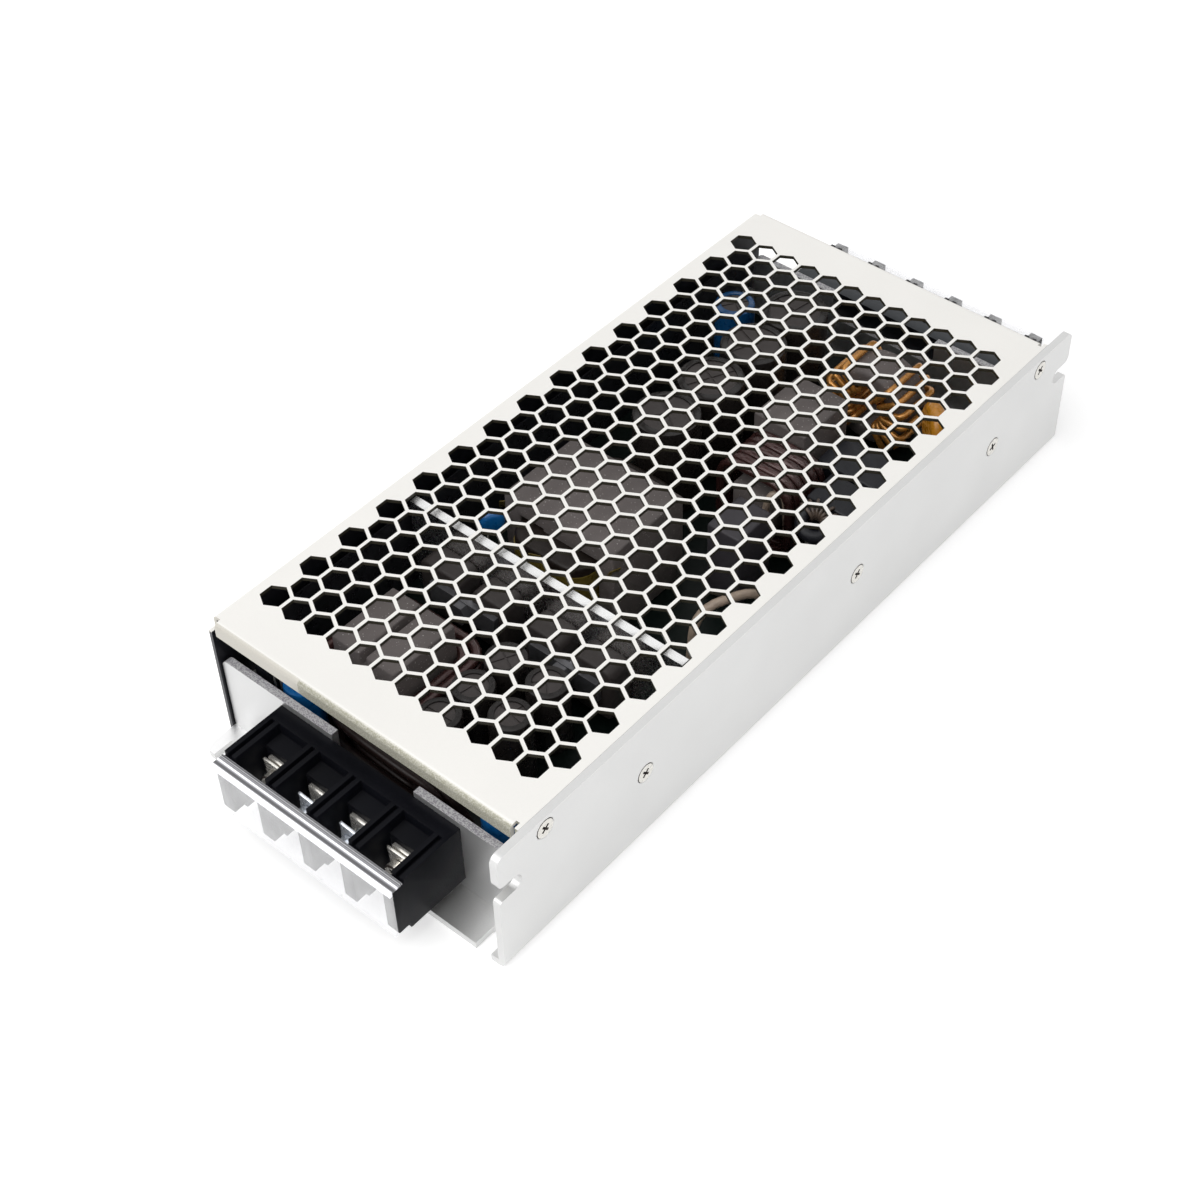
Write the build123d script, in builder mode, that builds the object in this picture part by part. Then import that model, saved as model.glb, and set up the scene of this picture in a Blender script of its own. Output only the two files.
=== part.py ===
# An enclosed dc-dc converter: folded sheet case with a honeycomb cover, and a barrier terminal block at each end.
# Origin at the centre of the base's underside, +Z up, +Y towards the rear (input) end. Sizes in millimetres.
import os
from math import radians, sin, sqrt

from build123d import *

os.makedirs("parts", exist_ok=True)

# Case sizes
case_width = 97.0
case_height = 38.0
chassis_length = 222.0
cover_length = 204.5
chassis_sheet = 2.0
cover_sheet = 1.0
chassis_bend = 2.5
cover_bend = 1.5
sheet_gap = 0.05
ground_gap = 0.3

# Honeycomb of the cover
hex_across = 6.3
hex_web = 0.9
hex_rows = 29
hex_per_row = 12
hex_field_x = -0.5

# Ends of the case
slot_width = 4.5
slot_depth = 7.0
wall_slot_z = 26.0
base_slot_x = 42.0
end_corner = 2.25
slot_mouth_upper = 1.75
slot_mouth_lower = 1.0
base_corner = 2.0
mount_hole_x = 80.0
mount_hole_y = 180.0
mount_hole_radius = 1.65

# Cover folds
lip_height = 4.0
relief = 2.0
tab_width = 12.0
tab_height = 8.0
tab_y = 96.0
tab_screw_drop = 3.6
flange_height = 14.0
flange_length = 196.0
flange_screw_y = 80.0
flange_screw_z = 9.0

# End panels
panel_sheet = 2.0
panel_gap = 0.4
panel_face_y = 101.5
front_panel_height = 25.0
rear_panel_height = 24.0
panel_corner = 2.0
notch_right = 14.4
front_notch_left = -11.0
rear_notch_left = -19.5
notch_depth = 8.0
foot_length = 70.0
foot_depth = 8.0
foot_sheet = 1.5

# Small countersunk screws
screw_radius = 1.5
screw_head_radius = 2.6
head_clearance = 0.15
thread_clearance = 0.05
wall_screw_z = 21.8
front_wall_screw_y = -63.5
middle_wall_screw_y = 16.5
rear_wall_screw_y = 76.0
wall_screw_spare = 1.5

# Terminal blocks
block_x = 0.4
output_poles = 4
input_poles = 5
terminal_pitch = 13.0
barrier = 3.6
block_bottom = 5.7
block_top = 23.3
pad_top = 20.0
deck_depth = 4.1
pad_depth = 8.8
fin_depth = 20.5
fin_step_depth = 17.0
fin_step = 1.5
shelf_drop = 1.4
shelf_depth = 3.2
groove_width = 1.2
groove_depth = 1.5
pocket_side = 5.6
pocket_depth = 7.0

# Terminal plates, clamps and screws
plate_width = 6.4
plate_sheet = 1.2
plate_bottom = 8.0
plate_top = 18.2
terminal_z = 13.0
clamp_side = 7.0
clamp_sheet = 1.0
terminal_radius = 1.95
terminal_clearance = 0.1
terminal_head_radius = 2.9
terminal_head = 2.2
terminal_length = 8.5
seat_gap = 0.05
loosened = 2.0
loosened_turn = 8.0

# Clear covers
hinge_depth = 19.4
hinge_z = 23.9
roll_radius = 1.6
pin_radius = 0.8
pin_clearance = 0.05
ear_radius = 1.2
ear_sheet = 1.4
ear_inset = 2.0
ear_gap = 0.2
pin_reach = 1.2
plate_clearance = 0.3
clear_sheet = 0.9
clear_bottom = 7.0

# Circuit board and what carries it
board_z = 5.0
board_sheet = 1.6
board_width = 89.4
board_length = 194.0
board_x = 0.3
pillar_across = 5.0
pillar_x = 36.0
pillar_y = 70.0
insulator_sheet = 0.5
insulator_height = 30.0
insulator_length = 176.0
insulator_foot = 4.0

# Heat plate and its devices
heat_sheet = 2.4
heat_plate_y = -41.0
heat_plate_left = -43.5
heat_plate_right = 41.5
heat_plate_top = 34.0
heat_flange_length = 32.0
heat_flange_bottom = 10.0
heat_flange_top = 28.0
heat_bend = 3.0
device_spans = ((-34.5, -21.0), (-17.5, -6.5), (-0.5, 11.0), (14.5, 26.5))
device_depth = 7.2
device_bottom = 9.5
device_top = 26.0
device_round = 1.5
clamp_bar_sheet = 1.6
clamp_bar_height = 6.0
clamp_bar_length = 21.0
clamp_bar_z = 19.0
bolt_head_across = 5.5
bolt_head = 2.0
side_bar_front = 5.0
side_bar_rear = 88.0
side_bar_bottom = 12.0
side_bar_top = 31.0
side_device_ys = (30.0, 60.0)
side_device_width = 10.0
side_device_depth = 4.2

# Wound parts
ferrite_gap = 0.4
transformer_x = -11.0
transformer_y = -11.8
transformer_width = 35.0
transformer_length = 26.5
transformer_top = 33.5
transformer_back = 5.0
transformer_leg = 5.0
centre_leg = 10.0
transformer_coil_length = 40.0
coil_round = 6.0
choke_x = -19.2
choke_y = -73.0
choke_coil_width = 33.0
choke_coil_length = 32.0
choke_coil_wall = 5.5
choke_coil_top = 22.0
choke_column_width = 9.0
choke_column_top = 30.0
choke_slot = 2.0
input_choke_x = 13.0
input_choke_front = 20.5
input_coil_length = 16.0
input_coil_width = 24.0
input_coil_height = 25.0
input_rod = 12.0
input_block_width = 16.0
input_block_length = 19.0
input_choke_top = 34.0
ring_x = 12.5
ring_y = 77.0
ring_outer = 11.5
ring_inner = 6.5
ring_width = 12.0
winding_cover = 2.2
winding_arc = 120.0
winding_gap = 7.0
ring_seat = 0.3

# Capacitors and other loose parts on the board
bulk_x = -16.0
bulk_pitch = 18.0
bulk_front_y = 22.5
bulk_count = 4
bulk_radius = 8.9
bulk_top = 34.0
output_can_radius = 5.25
output_can_top = 26.5
output_can_places = ((4.2, -60.5), (4.2, -71.5), (4.2, -82.5), (16.5, -60.0), (16.5, -72.5))
sleeved_can_radius = 5.5
sleeved_can_top = 32.0
sleeved_can_place = (-32.0, 71.0)
front_can_radius = 4.5
front_can_top = 24.0
front_can_places = ((-40.0, -92.3), (-28.5, -94.0), (31.5, -92.3))
film_boxes = ((32.5, 31.0, 13.0, 11.0, 28.0), (29.5, 44.0, 19.0, 12.0, 28.0))
grey_box = (19.5, 7.0, 10.0, 13.0, 30.0)
disc_x = 35.0
disc_y = 69.0
disc_z = 25.5
disc_radius = 7.0
disc_thickness = 4.5
leg_side = 1.0
leg_spacing = 7.5

# Flats of round forms that repeat, few on small fasteners and more on cans and rings
small_flats = 12
large_flats = 24

# Values worked out from the sizes above
half_width = case_width / 2
half_cover = cover_length / 2
half_chassis = chassis_length / 2
wall_inner = half_width - chassis_sheet
side_inner = -half_width + cover_sheet
flange_outer = side_inner + sheet_gap
flange_inner = flange_outer + chassis_sheet
cover_right = wall_inner - sheet_gap
cover_under = case_height - cover_sheet
board_top = board_z + board_sheet
panel_inner_y = panel_face_y - panel_sheet
screw_head = screw_head_radius - screw_radius
tapped_radius = screw_radius + thread_clearance
fin_shelf = block_top - shelf_drop
tap_z = case_height - tab_screw_drop
bar_inner = wall_inner - heat_sheet
cover_screw_length = cover_sheet + chassis_sheet + sheet_gap
wall_screw_length = chassis_sheet + heat_sheet + wall_screw_spare
flange_screw_ys = (-flange_screw_y, flange_screw_y)
wall_screw_ys = (front_wall_screw_y, middle_wall_screw_y, rear_wall_screw_y)


def save(piece, name):
    piece.label = name
    export_step(piece, f"parts/{name}.step")


def facing(x, y, z, direction):
    """A place on a side wall, its own Z along the outward direction."""
    return Plane(origin=(x, y, z), z_dir=direction)


def round_bar(radius, flats):
    """A round section with flats, its corners on the radius."""
    RegularPolygon(radius, flats)


def round_hole(radius, flats):
    """A round hole in a sketch, its flats on the radius."""
    RegularPolygon(radius, flats, major_radius=False, mode=Mode.SUBTRACT)


def drill(places, radius, depth):
    """Straight holes with flats, at places on an outer face."""
    for place in places:
        with BuildSketch(place) as hole:
            RegularPolygon(radius, small_flats, major_radius=False)
        extrude(hole.sketch, amount=-depth, mode=Mode.SUBTRACT)


def countersink(places, depth):
    """Countersunk holes for the small screws, at places on an outer face."""
    wide = screw_head_radius + head_clearance
    drill(places, tapped_radius, depth)
    for place in places:
        with BuildSketch(place) as mouth:
            RegularPolygon(wide, small_flats, major_radius=False)
        extrude(mouth.sketch, amount=-min(depth, wide - tapped_radius), taper=45, mode=Mode.SUBTRACT)


# Folded chassis: base, right wall and a low left flange inside the cover
with BuildPart() as chassis:
    with BuildSketch(Plane.XZ) as chassis_section:
        with BuildLine():
            Polyline(
                (flange_outer, 0),
                (half_width, 0),
                (half_width, case_height),
                (wall_inner, case_height),
                (wall_inner, chassis_sheet),
                (flange_outer, chassis_sheet),
                close=True,
            )
        make_face()
        corners = chassis_section.vertices()
        fillet(corners.sort_by_distance((half_width, 0))[0], chassis_bend)
        fillet(corners.sort_by_distance((wall_inner, chassis_sheet))[0], chassis_bend - chassis_sheet)
    extrude(amount=half_chassis, both=True)
    with BuildSketch(Plane.XZ):
        with Locations((flange_outer, 0)):
            Rectangle(chassis_sheet, flange_height, align=Align.MIN)
    extrude(amount=flange_length / 2, both=True)
    with BuildSketch(Plane.YZ.offset(half_width)):
        with Locations((-half_chassis, wall_slot_z), (half_chassis, wall_slot_z)):
            SlotOverall(2 * slot_depth, slot_width)
    extrude(amount=-chassis_sheet, mode=Mode.SUBTRACT)
    with BuildSketch(Plane.XY):
        with GridLocations(2 * base_slot_x, chassis_length, 2, 2):
            SlotOverall(2 * slot_depth, slot_width, rotation=90)
    extrude(amount=chassis_sheet, mode=Mode.SUBTRACT)
    end_edges = chassis.edges().filter_by(lambda e: abs(abs(e.center().Y) - half_chassis) < 0.01)
    across = end_edges.filter_by(Axis.X)
    fillet(across.group_by(Axis.Z)[-1], end_corner)
    end_edges = chassis.edges().filter_by(lambda e: abs(abs(e.center().Y) - half_chassis) < 0.01)
    across = end_edges.filter_by(Axis.X).filter_by(lambda e: e.length < chassis_sheet + 0.01)
    slot_top = wall_slot_z + slot_width / 2
    slot_foot = wall_slot_z - slot_width / 2
    fillet(across.filter_by(lambda e: abs(e.center().Z - slot_top) < 0.01), slot_mouth_upper)
    fillet(across.filter_by(lambda e: abs(e.center().Z - slot_foot) < 0.01), slot_mouth_lower)
    upright = chassis.edges().filter_by(Axis.Z).filter_by(lambda e: abs(e.center().X - flange_outer) < 0.01)
    fillet(upright.filter_by(lambda e: abs(abs(e.center().Y) - half_chassis) < 0.01), base_corner)
    with GridLocations(mount_hole_x, mount_hole_y, 2, 2):
        with Locations((0, 0, chassis_sheet)):
            Hole(mount_hole_radius, depth=chassis_sheet)
    wall_places = [facing(half_width, y, wall_screw_z, (1, 0, 0)) for y in wall_screw_ys]
    tab_places = [facing(half_width, y, tap_z, (1, 0, 0)) for y in (-tab_y, tab_y)]
    countersink(wall_places + tab_places, chassis_sheet)
    drill([facing(flange_outer, y, flange_screw_z, (-1, 0, 0)) for y in flange_screw_ys], tapped_radius, chassis_sheet)
save(chassis.part, "chassis")

# Folded cover: honeycomb top, left side, end lips and two tabs inside the right wall
hex_pitch = hex_across + hex_web
hex_row_pitch = hex_pitch * sqrt(3) / 2
hex_places = [
    (
        hex_field_x + (column - (hex_per_row - 1) / 2 + (0.25 if row % 2 else -0.25)) * hex_pitch,
        (row - (hex_rows - 1) / 2) * hex_row_pitch,
    )
    for row in range(hex_rows)
    for column in range(hex_per_row)
]
with BuildPart() as cover:
    with BuildSketch(Plane.XZ) as cover_section:
        with BuildLine():
            Polyline(
                (-half_width, ground_gap),
                (-half_width, case_height),
                (cover_right, case_height),
                (cover_right, cover_under),
                (side_inner, cover_under),
                (side_inner, ground_gap),
                close=True,
            )
        make_face()
        corners = cover_section.vertices()
        fillet(corners.sort_by_distance((-half_width, case_height))[0], cover_bend)
        fillet(corners.sort_by_distance((side_inner, cover_under))[0], cover_bend - cover_sheet)
    extrude(amount=half_cover - relief, both=True)
    with BuildSketch(Plane.XZ):
        with Locations((-half_width, ground_gap)):
            Rectangle(cover_sheet, case_height - cover_bend - relief - ground_gap, align=Align.MIN)
    extrude(amount=half_cover, both=True)
    lip_left = -half_width + cover_bend + relief / 2
    lip_right = cover_right - relief
    for side in (-1, 1):
        with BuildSketch(Plane.YZ.offset(lip_left)) as lip_section:
            with BuildLine():
                Polyline(
                    (side * half_cover, case_height - lip_height),
                    (side * half_cover, case_height),
                    (side * (half_cover - relief), case_height),
                    (side * (half_cover - relief), cover_under),
                    (side * (half_cover - cover_sheet), cover_under),
                    (side * (half_cover - cover_sheet), case_height - lip_height),
                    close=True,
                )
            make_face()
            fillet(lip_section.vertices().sort_by_distance((side * half_cover, case_height))[0], cover_bend)
        extrude(amount=lip_right - lip_left)
    with Locations((cover_right, -tab_y, case_height), (cover_right, tab_y, case_height)):
        Box(cover_sheet, tab_width, tab_height, align=(Align.MAX, Align.CENTER, Align.MAX))
    drill([facing(cover_right, y, tap_z, (1, 0, 0)) for y in (-tab_y, tab_y)], tapped_radius, cover_sheet)
    left_places = [facing(-half_width, y, flange_screw_z, (-1, 0, 0)) for y in flange_screw_ys]
    countersink(left_places, cover_sheet)
    with BuildSketch(Plane.XY.offset(case_height)):
        with Locations(*hex_places):
            RegularPolygon(hex_across / sqrt(3), 6, rotation=30)
    extrude(amount=-cover_sheet, mode=Mode.SUBTRACT, clean=False)
save(cover.part, "cover")


def end_panel(side, height, notch_left):
    """An end wall on the front (side -1) or rear (side 1) of the base, with its foot inside."""
    face = Plane(origin=(0, side * panel_inner_y, 0), x_dir=(-side, 0, 0), z_dir=(0, side, 0))
    left = side_inner + panel_gap
    with BuildPart() as panel:
        with BuildSketch(face) as outline:
            with Locations((-side * (left + wall_inner) / 2, (height + chassis_sheet) / 2)):
                Rectangle(wall_inner - left, height - chassis_sheet)
            fillet(outline.vertices().sort_by_distance((-side * left, height))[0], panel_corner)
            with Locations((-side * (notch_left + notch_right) / 2, height)):
                Rectangle(notch_right - notch_left, 2 * notch_depth, mode=Mode.SUBTRACT)
            inner = outline.vertices().filter_by(lambda v: abs(v.Y - (height - notch_depth)) < 0.01)
            fillet(inner, panel_corner)
        extrude(amount=panel_sheet)
        with Locations((0, side * (panel_inner_y - foot_depth / 2), chassis_sheet + foot_sheet / 2)):
            Box(foot_length, foot_depth, foot_sheet)
    return panel.part


save(end_panel(-1, front_panel_height, front_notch_left), "front_panel")
save(end_panel(1, rear_panel_height, rear_notch_left), "rear_panel")


def countersunk_screw(length):
    """A countersunk screw with its head's top at the origin, pointing down."""
    with BuildPart() as screw:
        with BuildSketch(Plane.XY):
            round_bar(screw_head_radius, small_flats)
        extrude(amount=-screw_head, taper=45)
        with BuildSketch(Plane.XY):
            round_bar(screw_radius, small_flats)
        extrude(amount=-length)
    return screw.part


short_screw = countersunk_screw(cover_screw_length)
long_screw = countersunk_screw(wall_screw_length)
with BuildPart() as cover_screws:
    with Locations(*tab_places, *left_places):
        add(short_screw)
save(cover_screws.part, "cover_screws")
with BuildPart() as wall_screws:
    with Locations(*wall_places):
        add(long_screw)
save(wall_screws.part, "wall_screws")


# Terminal blocks, each drawn facing -Y with its back on the plane y = 0, then set against its end panel
front_face = Location((block_x, -panel_face_y, 0))
rear_face = Location((block_x, panel_face_y, 0), (0, 0, 180))


def block_width(poles):
    return poles * terminal_pitch + barrier


def pole_xs(poles):
    return [(pole - (poles - 1) / 2) * terminal_pitch for pole in range(poles)]


def ear_x(poles):
    """Middle of a hinge ear, on the inner half of each end barrier."""
    return block_width(poles) / 2 - ear_inset - ear_sheet / 2


def terminal_block(poles):
    """The black moulding: stepped body, barrier fins and the two hinge ears with their pins."""
    width = block_width(poles)
    with BuildPart() as block:
        with BuildSketch(Plane.YZ.offset(-width / 2)):
            with BuildLine():
                Polyline(
                    (0, block_bottom),
                    (-pad_depth, block_bottom),
                    (-pad_depth, pad_top),
                    (-deck_depth, pad_top),
                    (-deck_depth, block_top),
                    (0, block_top),
                    close=True,
                )
            make_face()
        extrude(amount=width)
        for index in range(poles + 1):
            left = -width / 2 + index * terminal_pitch
            with BuildSketch(Plane.YZ.offset(left)):
                with BuildLine():
                    Polyline(
                        (0, block_bottom),
                        (-fin_step_depth, block_bottom),
                        (-fin_step_depth, block_bottom + fin_step),
                        (-fin_depth, block_bottom + fin_step),
                        (-fin_depth, fin_shelf),
                        (-fin_depth + shelf_depth, fin_shelf),
                        (-fin_depth + shelf_depth, block_top),
                        (0, block_top),
                        close=True,
                    )
                make_face()
            extrude(amount=barrier)
            groove_length = fin_depth - shelf_depth - deck_depth
            with Locations((left + barrier / 2, -deck_depth - groove_length / 2, block_top)):
                Box(groove_width, groove_length, 2 * groove_depth, mode=Mode.SUBTRACT)
        with Locations(*[(x, -pad_depth, terminal_z) for x in pole_xs(poles)]):
            Box(pocket_side, 2 * pocket_depth, pocket_side, mode=Mode.SUBTRACT)
        for x in (-ear_x(poles), ear_x(poles)):
            with BuildSketch(Plane.YZ.offset(x)):
                with Locations((-hinge_depth, hinge_z)):
                    round_bar(ear_radius, small_flats)
                with Locations((-hinge_depth, (fin_shelf + hinge_z) / 2)):
                    Rectangle(2 * ear_radius, hinge_z - fin_shelf)
            extrude(amount=ear_sheet / 2, both=True)
            with BuildSketch(Plane.YZ.offset(x)):
                with Locations((-hinge_depth, hinge_z)):
                    round_bar(pin_radius, small_flats)
            extrude(amount=ear_sheet / 2 + pin_reach, both=True)
    return block.part


def terminal_plates(poles):
    """Flat terminal plates on the front of the block's body, one to a pole."""
    with BuildPart() as plates:
        with BuildSketch(Plane.XZ.offset(pad_depth)):
            for x in pole_xs(poles):
                with Locations((x, (plate_bottom + plate_top) / 2)):
                    Rectangle(plate_width, plate_top - plate_bottom)
                with Locations((x, terminal_z)):
                    round_hole(terminal_radius + terminal_clearance, small_flats)
        extrude(amount=plate_sheet)
    return plates.part


def clamp_washer(x, turn, out):
    """A square clamp washer in front of its terminal plate, turned and backed out with its screw."""
    with BuildPart() as clamp:
        with BuildSketch(Plane.XZ.offset(pad_depth + plate_sheet + seat_gap + out)):
            with Locations((x, terminal_z)):
                Rectangle(clamp_side, clamp_side, rotation=turn)
                round_hole(terminal_radius + terminal_clearance, small_flats)
        extrude(amount=clamp_sheet)
    return clamp.part


def terminal_screw(x, out):
    """A cheese-head screw on its clamp washer, backed out by the same amount."""
    head_back = pad_depth + plate_sheet + clamp_sheet + 2 * seat_gap + out
    with BuildPart() as screw:
        with BuildSketch(Plane.XZ.offset(head_back)):
            with Locations((x, terminal_z)):
                round_bar(terminal_head_radius, small_flats)
        extrude(amount=terminal_head)
        with BuildSketch(Plane.XZ.offset(head_back - terminal_length)):
            with Locations((x, terminal_z)):
                round_bar(terminal_radius, small_flats)
        extrude(amount=terminal_length)
    return screw.part


def clear_cover(poles):
    """The clear cover: a round strip along the hinge line and a plate that hangs in front of the fins."""
    width = block_width(poles)
    plate_back = fin_depth + plate_clearance
    gap = ear_sheet + 2 * ear_gap
    with BuildPart() as clear:
        with BuildSketch(Plane.YZ.offset(-width / 2)):
            with Locations((-hinge_depth, hinge_z)):
                round_bar(roll_radius, large_flats)
            with Locations((-plate_back - clear_sheet / 2, (clear_bottom + hinge_z) / 2)):
                Rectangle(clear_sheet, hinge_z - clear_bottom)
        extrude(amount=width)
        for x in (-ear_x(poles), ear_x(poles)):
            with Locations((x, -plate_back, hinge_z)):
                Box(gap, 3 * roll_radius, 3 * roll_radius, align=(Align.CENTER, Align.MIN, Align.CENTER), mode=Mode.SUBTRACT)
            with BuildSketch(Plane.YZ.offset(x)):
                with Locations((-hinge_depth, hinge_z)):
                    RegularPolygon(pin_radius + pin_clearance, small_flats, major_radius=False)
            extrude(amount=ear_sheet / 2 + pin_reach + ear_gap, both=True, mode=Mode.SUBTRACT)
    return clear.part


def save_terminals(prefix, poles, place, loose_poles):
    save(terminal_block(poles).moved(place), f"{prefix}_block")
    save(terminal_plates(poles).moved(place), f"{prefix}_terminals")
    save(clear_cover(poles).moved(place), f"{prefix}_cover")
    for number, x in enumerate(pole_xs(poles), start=1):
        loose = number in loose_poles
        out = loosened if loose else 0.0
        save(clamp_washer(x, loosened_turn if loose else 0.0, out).moved(place), f"{prefix}_clamp_{number}")
        save(terminal_screw(x, out).moved(place), f"{prefix}_screw_{number}")


save_terminals("output", output_poles, front_face, (2, 3))
save_terminals("input", input_poles, rear_face, ())


# Circuit board on its pillars, and the insulating sheet along the left side
with BuildPart() as circuit_board:
    with Locations((board_x, 0, board_z)):
        Box(board_width, board_length, board_sheet, align=(Align.CENTER, Align.CENTER, Align.MIN))
save(circuit_board.part, "circuit_board")

with BuildPart() as board_pillars:
    with BuildSketch(Plane.XY.offset(chassis_sheet)):
        with GridLocations(2 * pillar_x, pillar_y, 2, 3):
            RegularPolygon(pillar_across / sqrt(3), 6)
    extrude(amount=board_z - chassis_sheet)
save(board_pillars.part, "board_pillars")

with BuildPart() as insulating_sheet:
    with BuildSketch(Plane.XZ):
        with Locations((flange_inner + sheet_gap, chassis_sheet)):
            Rectangle(insulator_sheet, insulator_height - chassis_sheet, align=Align.MIN)
            Rectangle(insulator_foot, insulator_sheet, align=Align.MIN)
    extrude(amount=insulator_length / 2, both=True)
save(insulating_sheet.part, "insulating_sheet")


# Heat plate across the case, with a flange against the right wall
plate_front = heat_plate_y - heat_sheet / 2
plate_rear = heat_plate_y + heat_sheet / 2
bolt_xs = [(device_spans[i][1] + device_spans[i + 1][0]) / 2 for i in (0, 2)]
with BuildPart() as heat_plate:
    with BuildSketch(Plane.XY.offset(heat_flange_bottom)) as heat_outline:
        with BuildLine():
            Polyline(
                (heat_plate_left, plate_rear),
                (wall_inner, plate_rear),
                (wall_inner, plate_rear - heat_flange_length),
                (bar_inner, plate_rear - heat_flange_length),
                (bar_inner, plate_front),
                (heat_plate_left, plate_front),
                close=True,
            )
        make_face()
        corners = heat_outline.vertices()
        fillet(corners.sort_by_distance((wall_inner, plate_rear))[0], heat_bend)
        fillet(corners.sort_by_distance((bar_inner, plate_front))[0], heat_bend - heat_sheet)
    extrude(amount=heat_flange_top - heat_flange_bottom)
    with BuildSketch(Plane.XY.offset(board_top)):
        with Locations(((heat_plate_left + heat_plate_right) / 2, heat_plate_y)):
            Rectangle(heat_plate_right - heat_plate_left, heat_sheet)
    extrude(amount=heat_plate_top - board_top)
    drill([facing(wall_inner, front_wall_screw_y, wall_screw_z, (1, 0, 0))], tapped_radius, heat_sheet)
    drill([facing(x, plate_front, clamp_bar_z, (0, -1, 0)) for x in bolt_xs], tapped_radius, heat_sheet)
save(heat_plate.part, "heat_plate")

with BuildPart() as power_devices:
    for left, right in device_spans:
        with BuildSketch(Plane.XZ.offset(-plate_front)) as body:
            with Locations(((left + right) / 2, (device_bottom + device_top) / 2)):
                Rectangle(right - left, device_top - device_bottom)
            chamfer(body.vertices(), device_round)
        extrude(amount=device_depth)
save(power_devices.part, "power_devices")

bar_back = -plate_front + device_depth
with BuildPart() as clamp_bars:
    for x in bolt_xs:
        with BuildSketch(Plane.XZ.offset(bar_back)):
            with Locations((x, clamp_bar_z)):
                Rectangle(clamp_bar_length, clamp_bar_height)
                round_hole(tapped_radius, small_flats)
        extrude(amount=clamp_bar_sheet)
save(clamp_bars.part, "clamp_bars")

with BuildPart() as clamp_bolts:
    for x in bolt_xs:
        with BuildSketch(Plane.XZ.offset(bar_back + clamp_bar_sheet)):
            with Locations((x, clamp_bar_z)):
                RegularPolygon(bolt_head_across / sqrt(3), 6)
        extrude(amount=bolt_head)
        with BuildSketch(Plane.XZ.offset(bar_back + clamp_bar_sheet)):
            with Locations((x, clamp_bar_z)):
                round_bar(screw_radius, small_flats)
        extrude(amount=-clamp_bar_sheet - device_depth - heat_sheet)
save(clamp_bolts.part, "clamp_bolts")

with BuildPart() as side_heat_bar:
    with BuildSketch(Plane.YZ.offset(bar_inner)):
        with Locations((side_bar_front, side_bar_bottom)):
            Rectangle(side_bar_rear - side_bar_front, side_bar_top - side_bar_bottom, align=Align.MIN)
        with Locations((middle_wall_screw_y, wall_screw_z), (rear_wall_screw_y, wall_screw_z)):
            round_hole(tapped_radius, small_flats)
    extrude(amount=heat_sheet)
save(side_heat_bar.part, "side_heat_bar")

with BuildPart() as side_devices:
    for y in side_device_ys:
        with Locations((bar_inner, y, device_bottom)):
            Box(
                side_device_depth,
                side_device_width,
                device_top - device_bottom,
                align=(Align.MAX, Align.CENTER, Align.MIN),
            )
save(side_devices.part, "side_devices")


# Main transformer: a ferrite core with two windows, and the coil round its centre leg
window = (transformer_width - 2 * transformer_leg - centre_leg) / 2
window_height = transformer_top - board_top - 2 * transformer_back
window_x = (centre_leg + window) / 2
window_z = board_top + transformer_back + window_height / 2
with BuildPart() as transformer_core:
    with Locations((transformer_x, transformer_y, board_top)):
        Box(
            transformer_width,
            transformer_length,
            transformer_top - board_top,
            align=(Align.CENTER, Align.CENTER, Align.MIN),
        )
    for side in (-1, 1):
        with Locations((transformer_x + side * window_x, transformer_y, window_z)):
            Box(window, transformer_length, window_height, mode=Mode.SUBTRACT)
save(transformer_core.part, "transformer_core")

with BuildPart() as transformer_coil:
    with BuildSketch(Plane.XY.offset(window_z - window_height / 2 + ferrite_gap)) as coil_plan:
        with Locations((transformer_x, transformer_y)):
            Rectangle(centre_leg + 2 * window - 2 * ferrite_gap, transformer_coil_length)
            chamfer(coil_plan.vertices(), coil_round)
            Rectangle(centre_leg + 2 * ferrite_gap, transformer_length + 2 * ferrite_gap, mode=Mode.SUBTRACT)
    extrude(amount=window_height - 2 * ferrite_gap)
save(transformer_coil.part, "transformer_coil")


# Output choke: two ferrite columns on a foot, inside a flat thick coil
choke_inner_width = choke_coil_width - 2 * choke_coil_wall
choke_inner_length = choke_coil_length - 2 * choke_coil_wall
column_length = choke_inner_length - 2 * ferrite_gap
with BuildPart() as output_choke_core:
    with BuildSketch(Plane.XY.offset(board_top)):
        with Locations((choke_x, choke_y)):
            Rectangle(2 * choke_column_width + choke_slot, column_length)
    extrude(amount=choke_column_top - board_top)
    with Locations((choke_x, choke_y, choke_column_top)):
        Box(choke_slot, column_length, choke_column_top - choke_coil_top, mode=Mode.SUBTRACT)
save(output_choke_core.part, "output_choke_core")

with BuildPart() as output_choke_coil:
    with BuildSketch(Plane.XY.offset(board_top)) as coil_plan:
        with Locations((choke_x, choke_y)):
            Rectangle(choke_coil_width, choke_coil_length)
            chamfer(coil_plan.vertices(), coil_round)
            Rectangle(choke_inner_width, choke_inner_length, mode=Mode.SUBTRACT)
    extrude(amount=choke_coil_top - board_top)
save(output_choke_coil.part, "output_choke_coil")


# Input choke: a ferrite block with a rod, and a thick coil along the rod
coil_middle_z = board_top + input_coil_height / 2
block_front = input_choke_front + input_coil_length
with BuildPart() as input_choke_core:
    with BuildSketch(Plane.XY.offset(board_top)):
        with Locations((input_choke_x - input_block_width / 4, block_front + input_block_length / 2)):
            Rectangle(input_block_width, input_block_length)
    extrude(amount=input_choke_top - board_top)
    with Locations((input_choke_x, block_front, coil_middle_z)):
        Box(input_rod, input_coil_length, input_rod, align=(Align.CENTER, Align.MAX, Align.CENTER))
save(input_choke_core.part, "input_choke_core")

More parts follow.
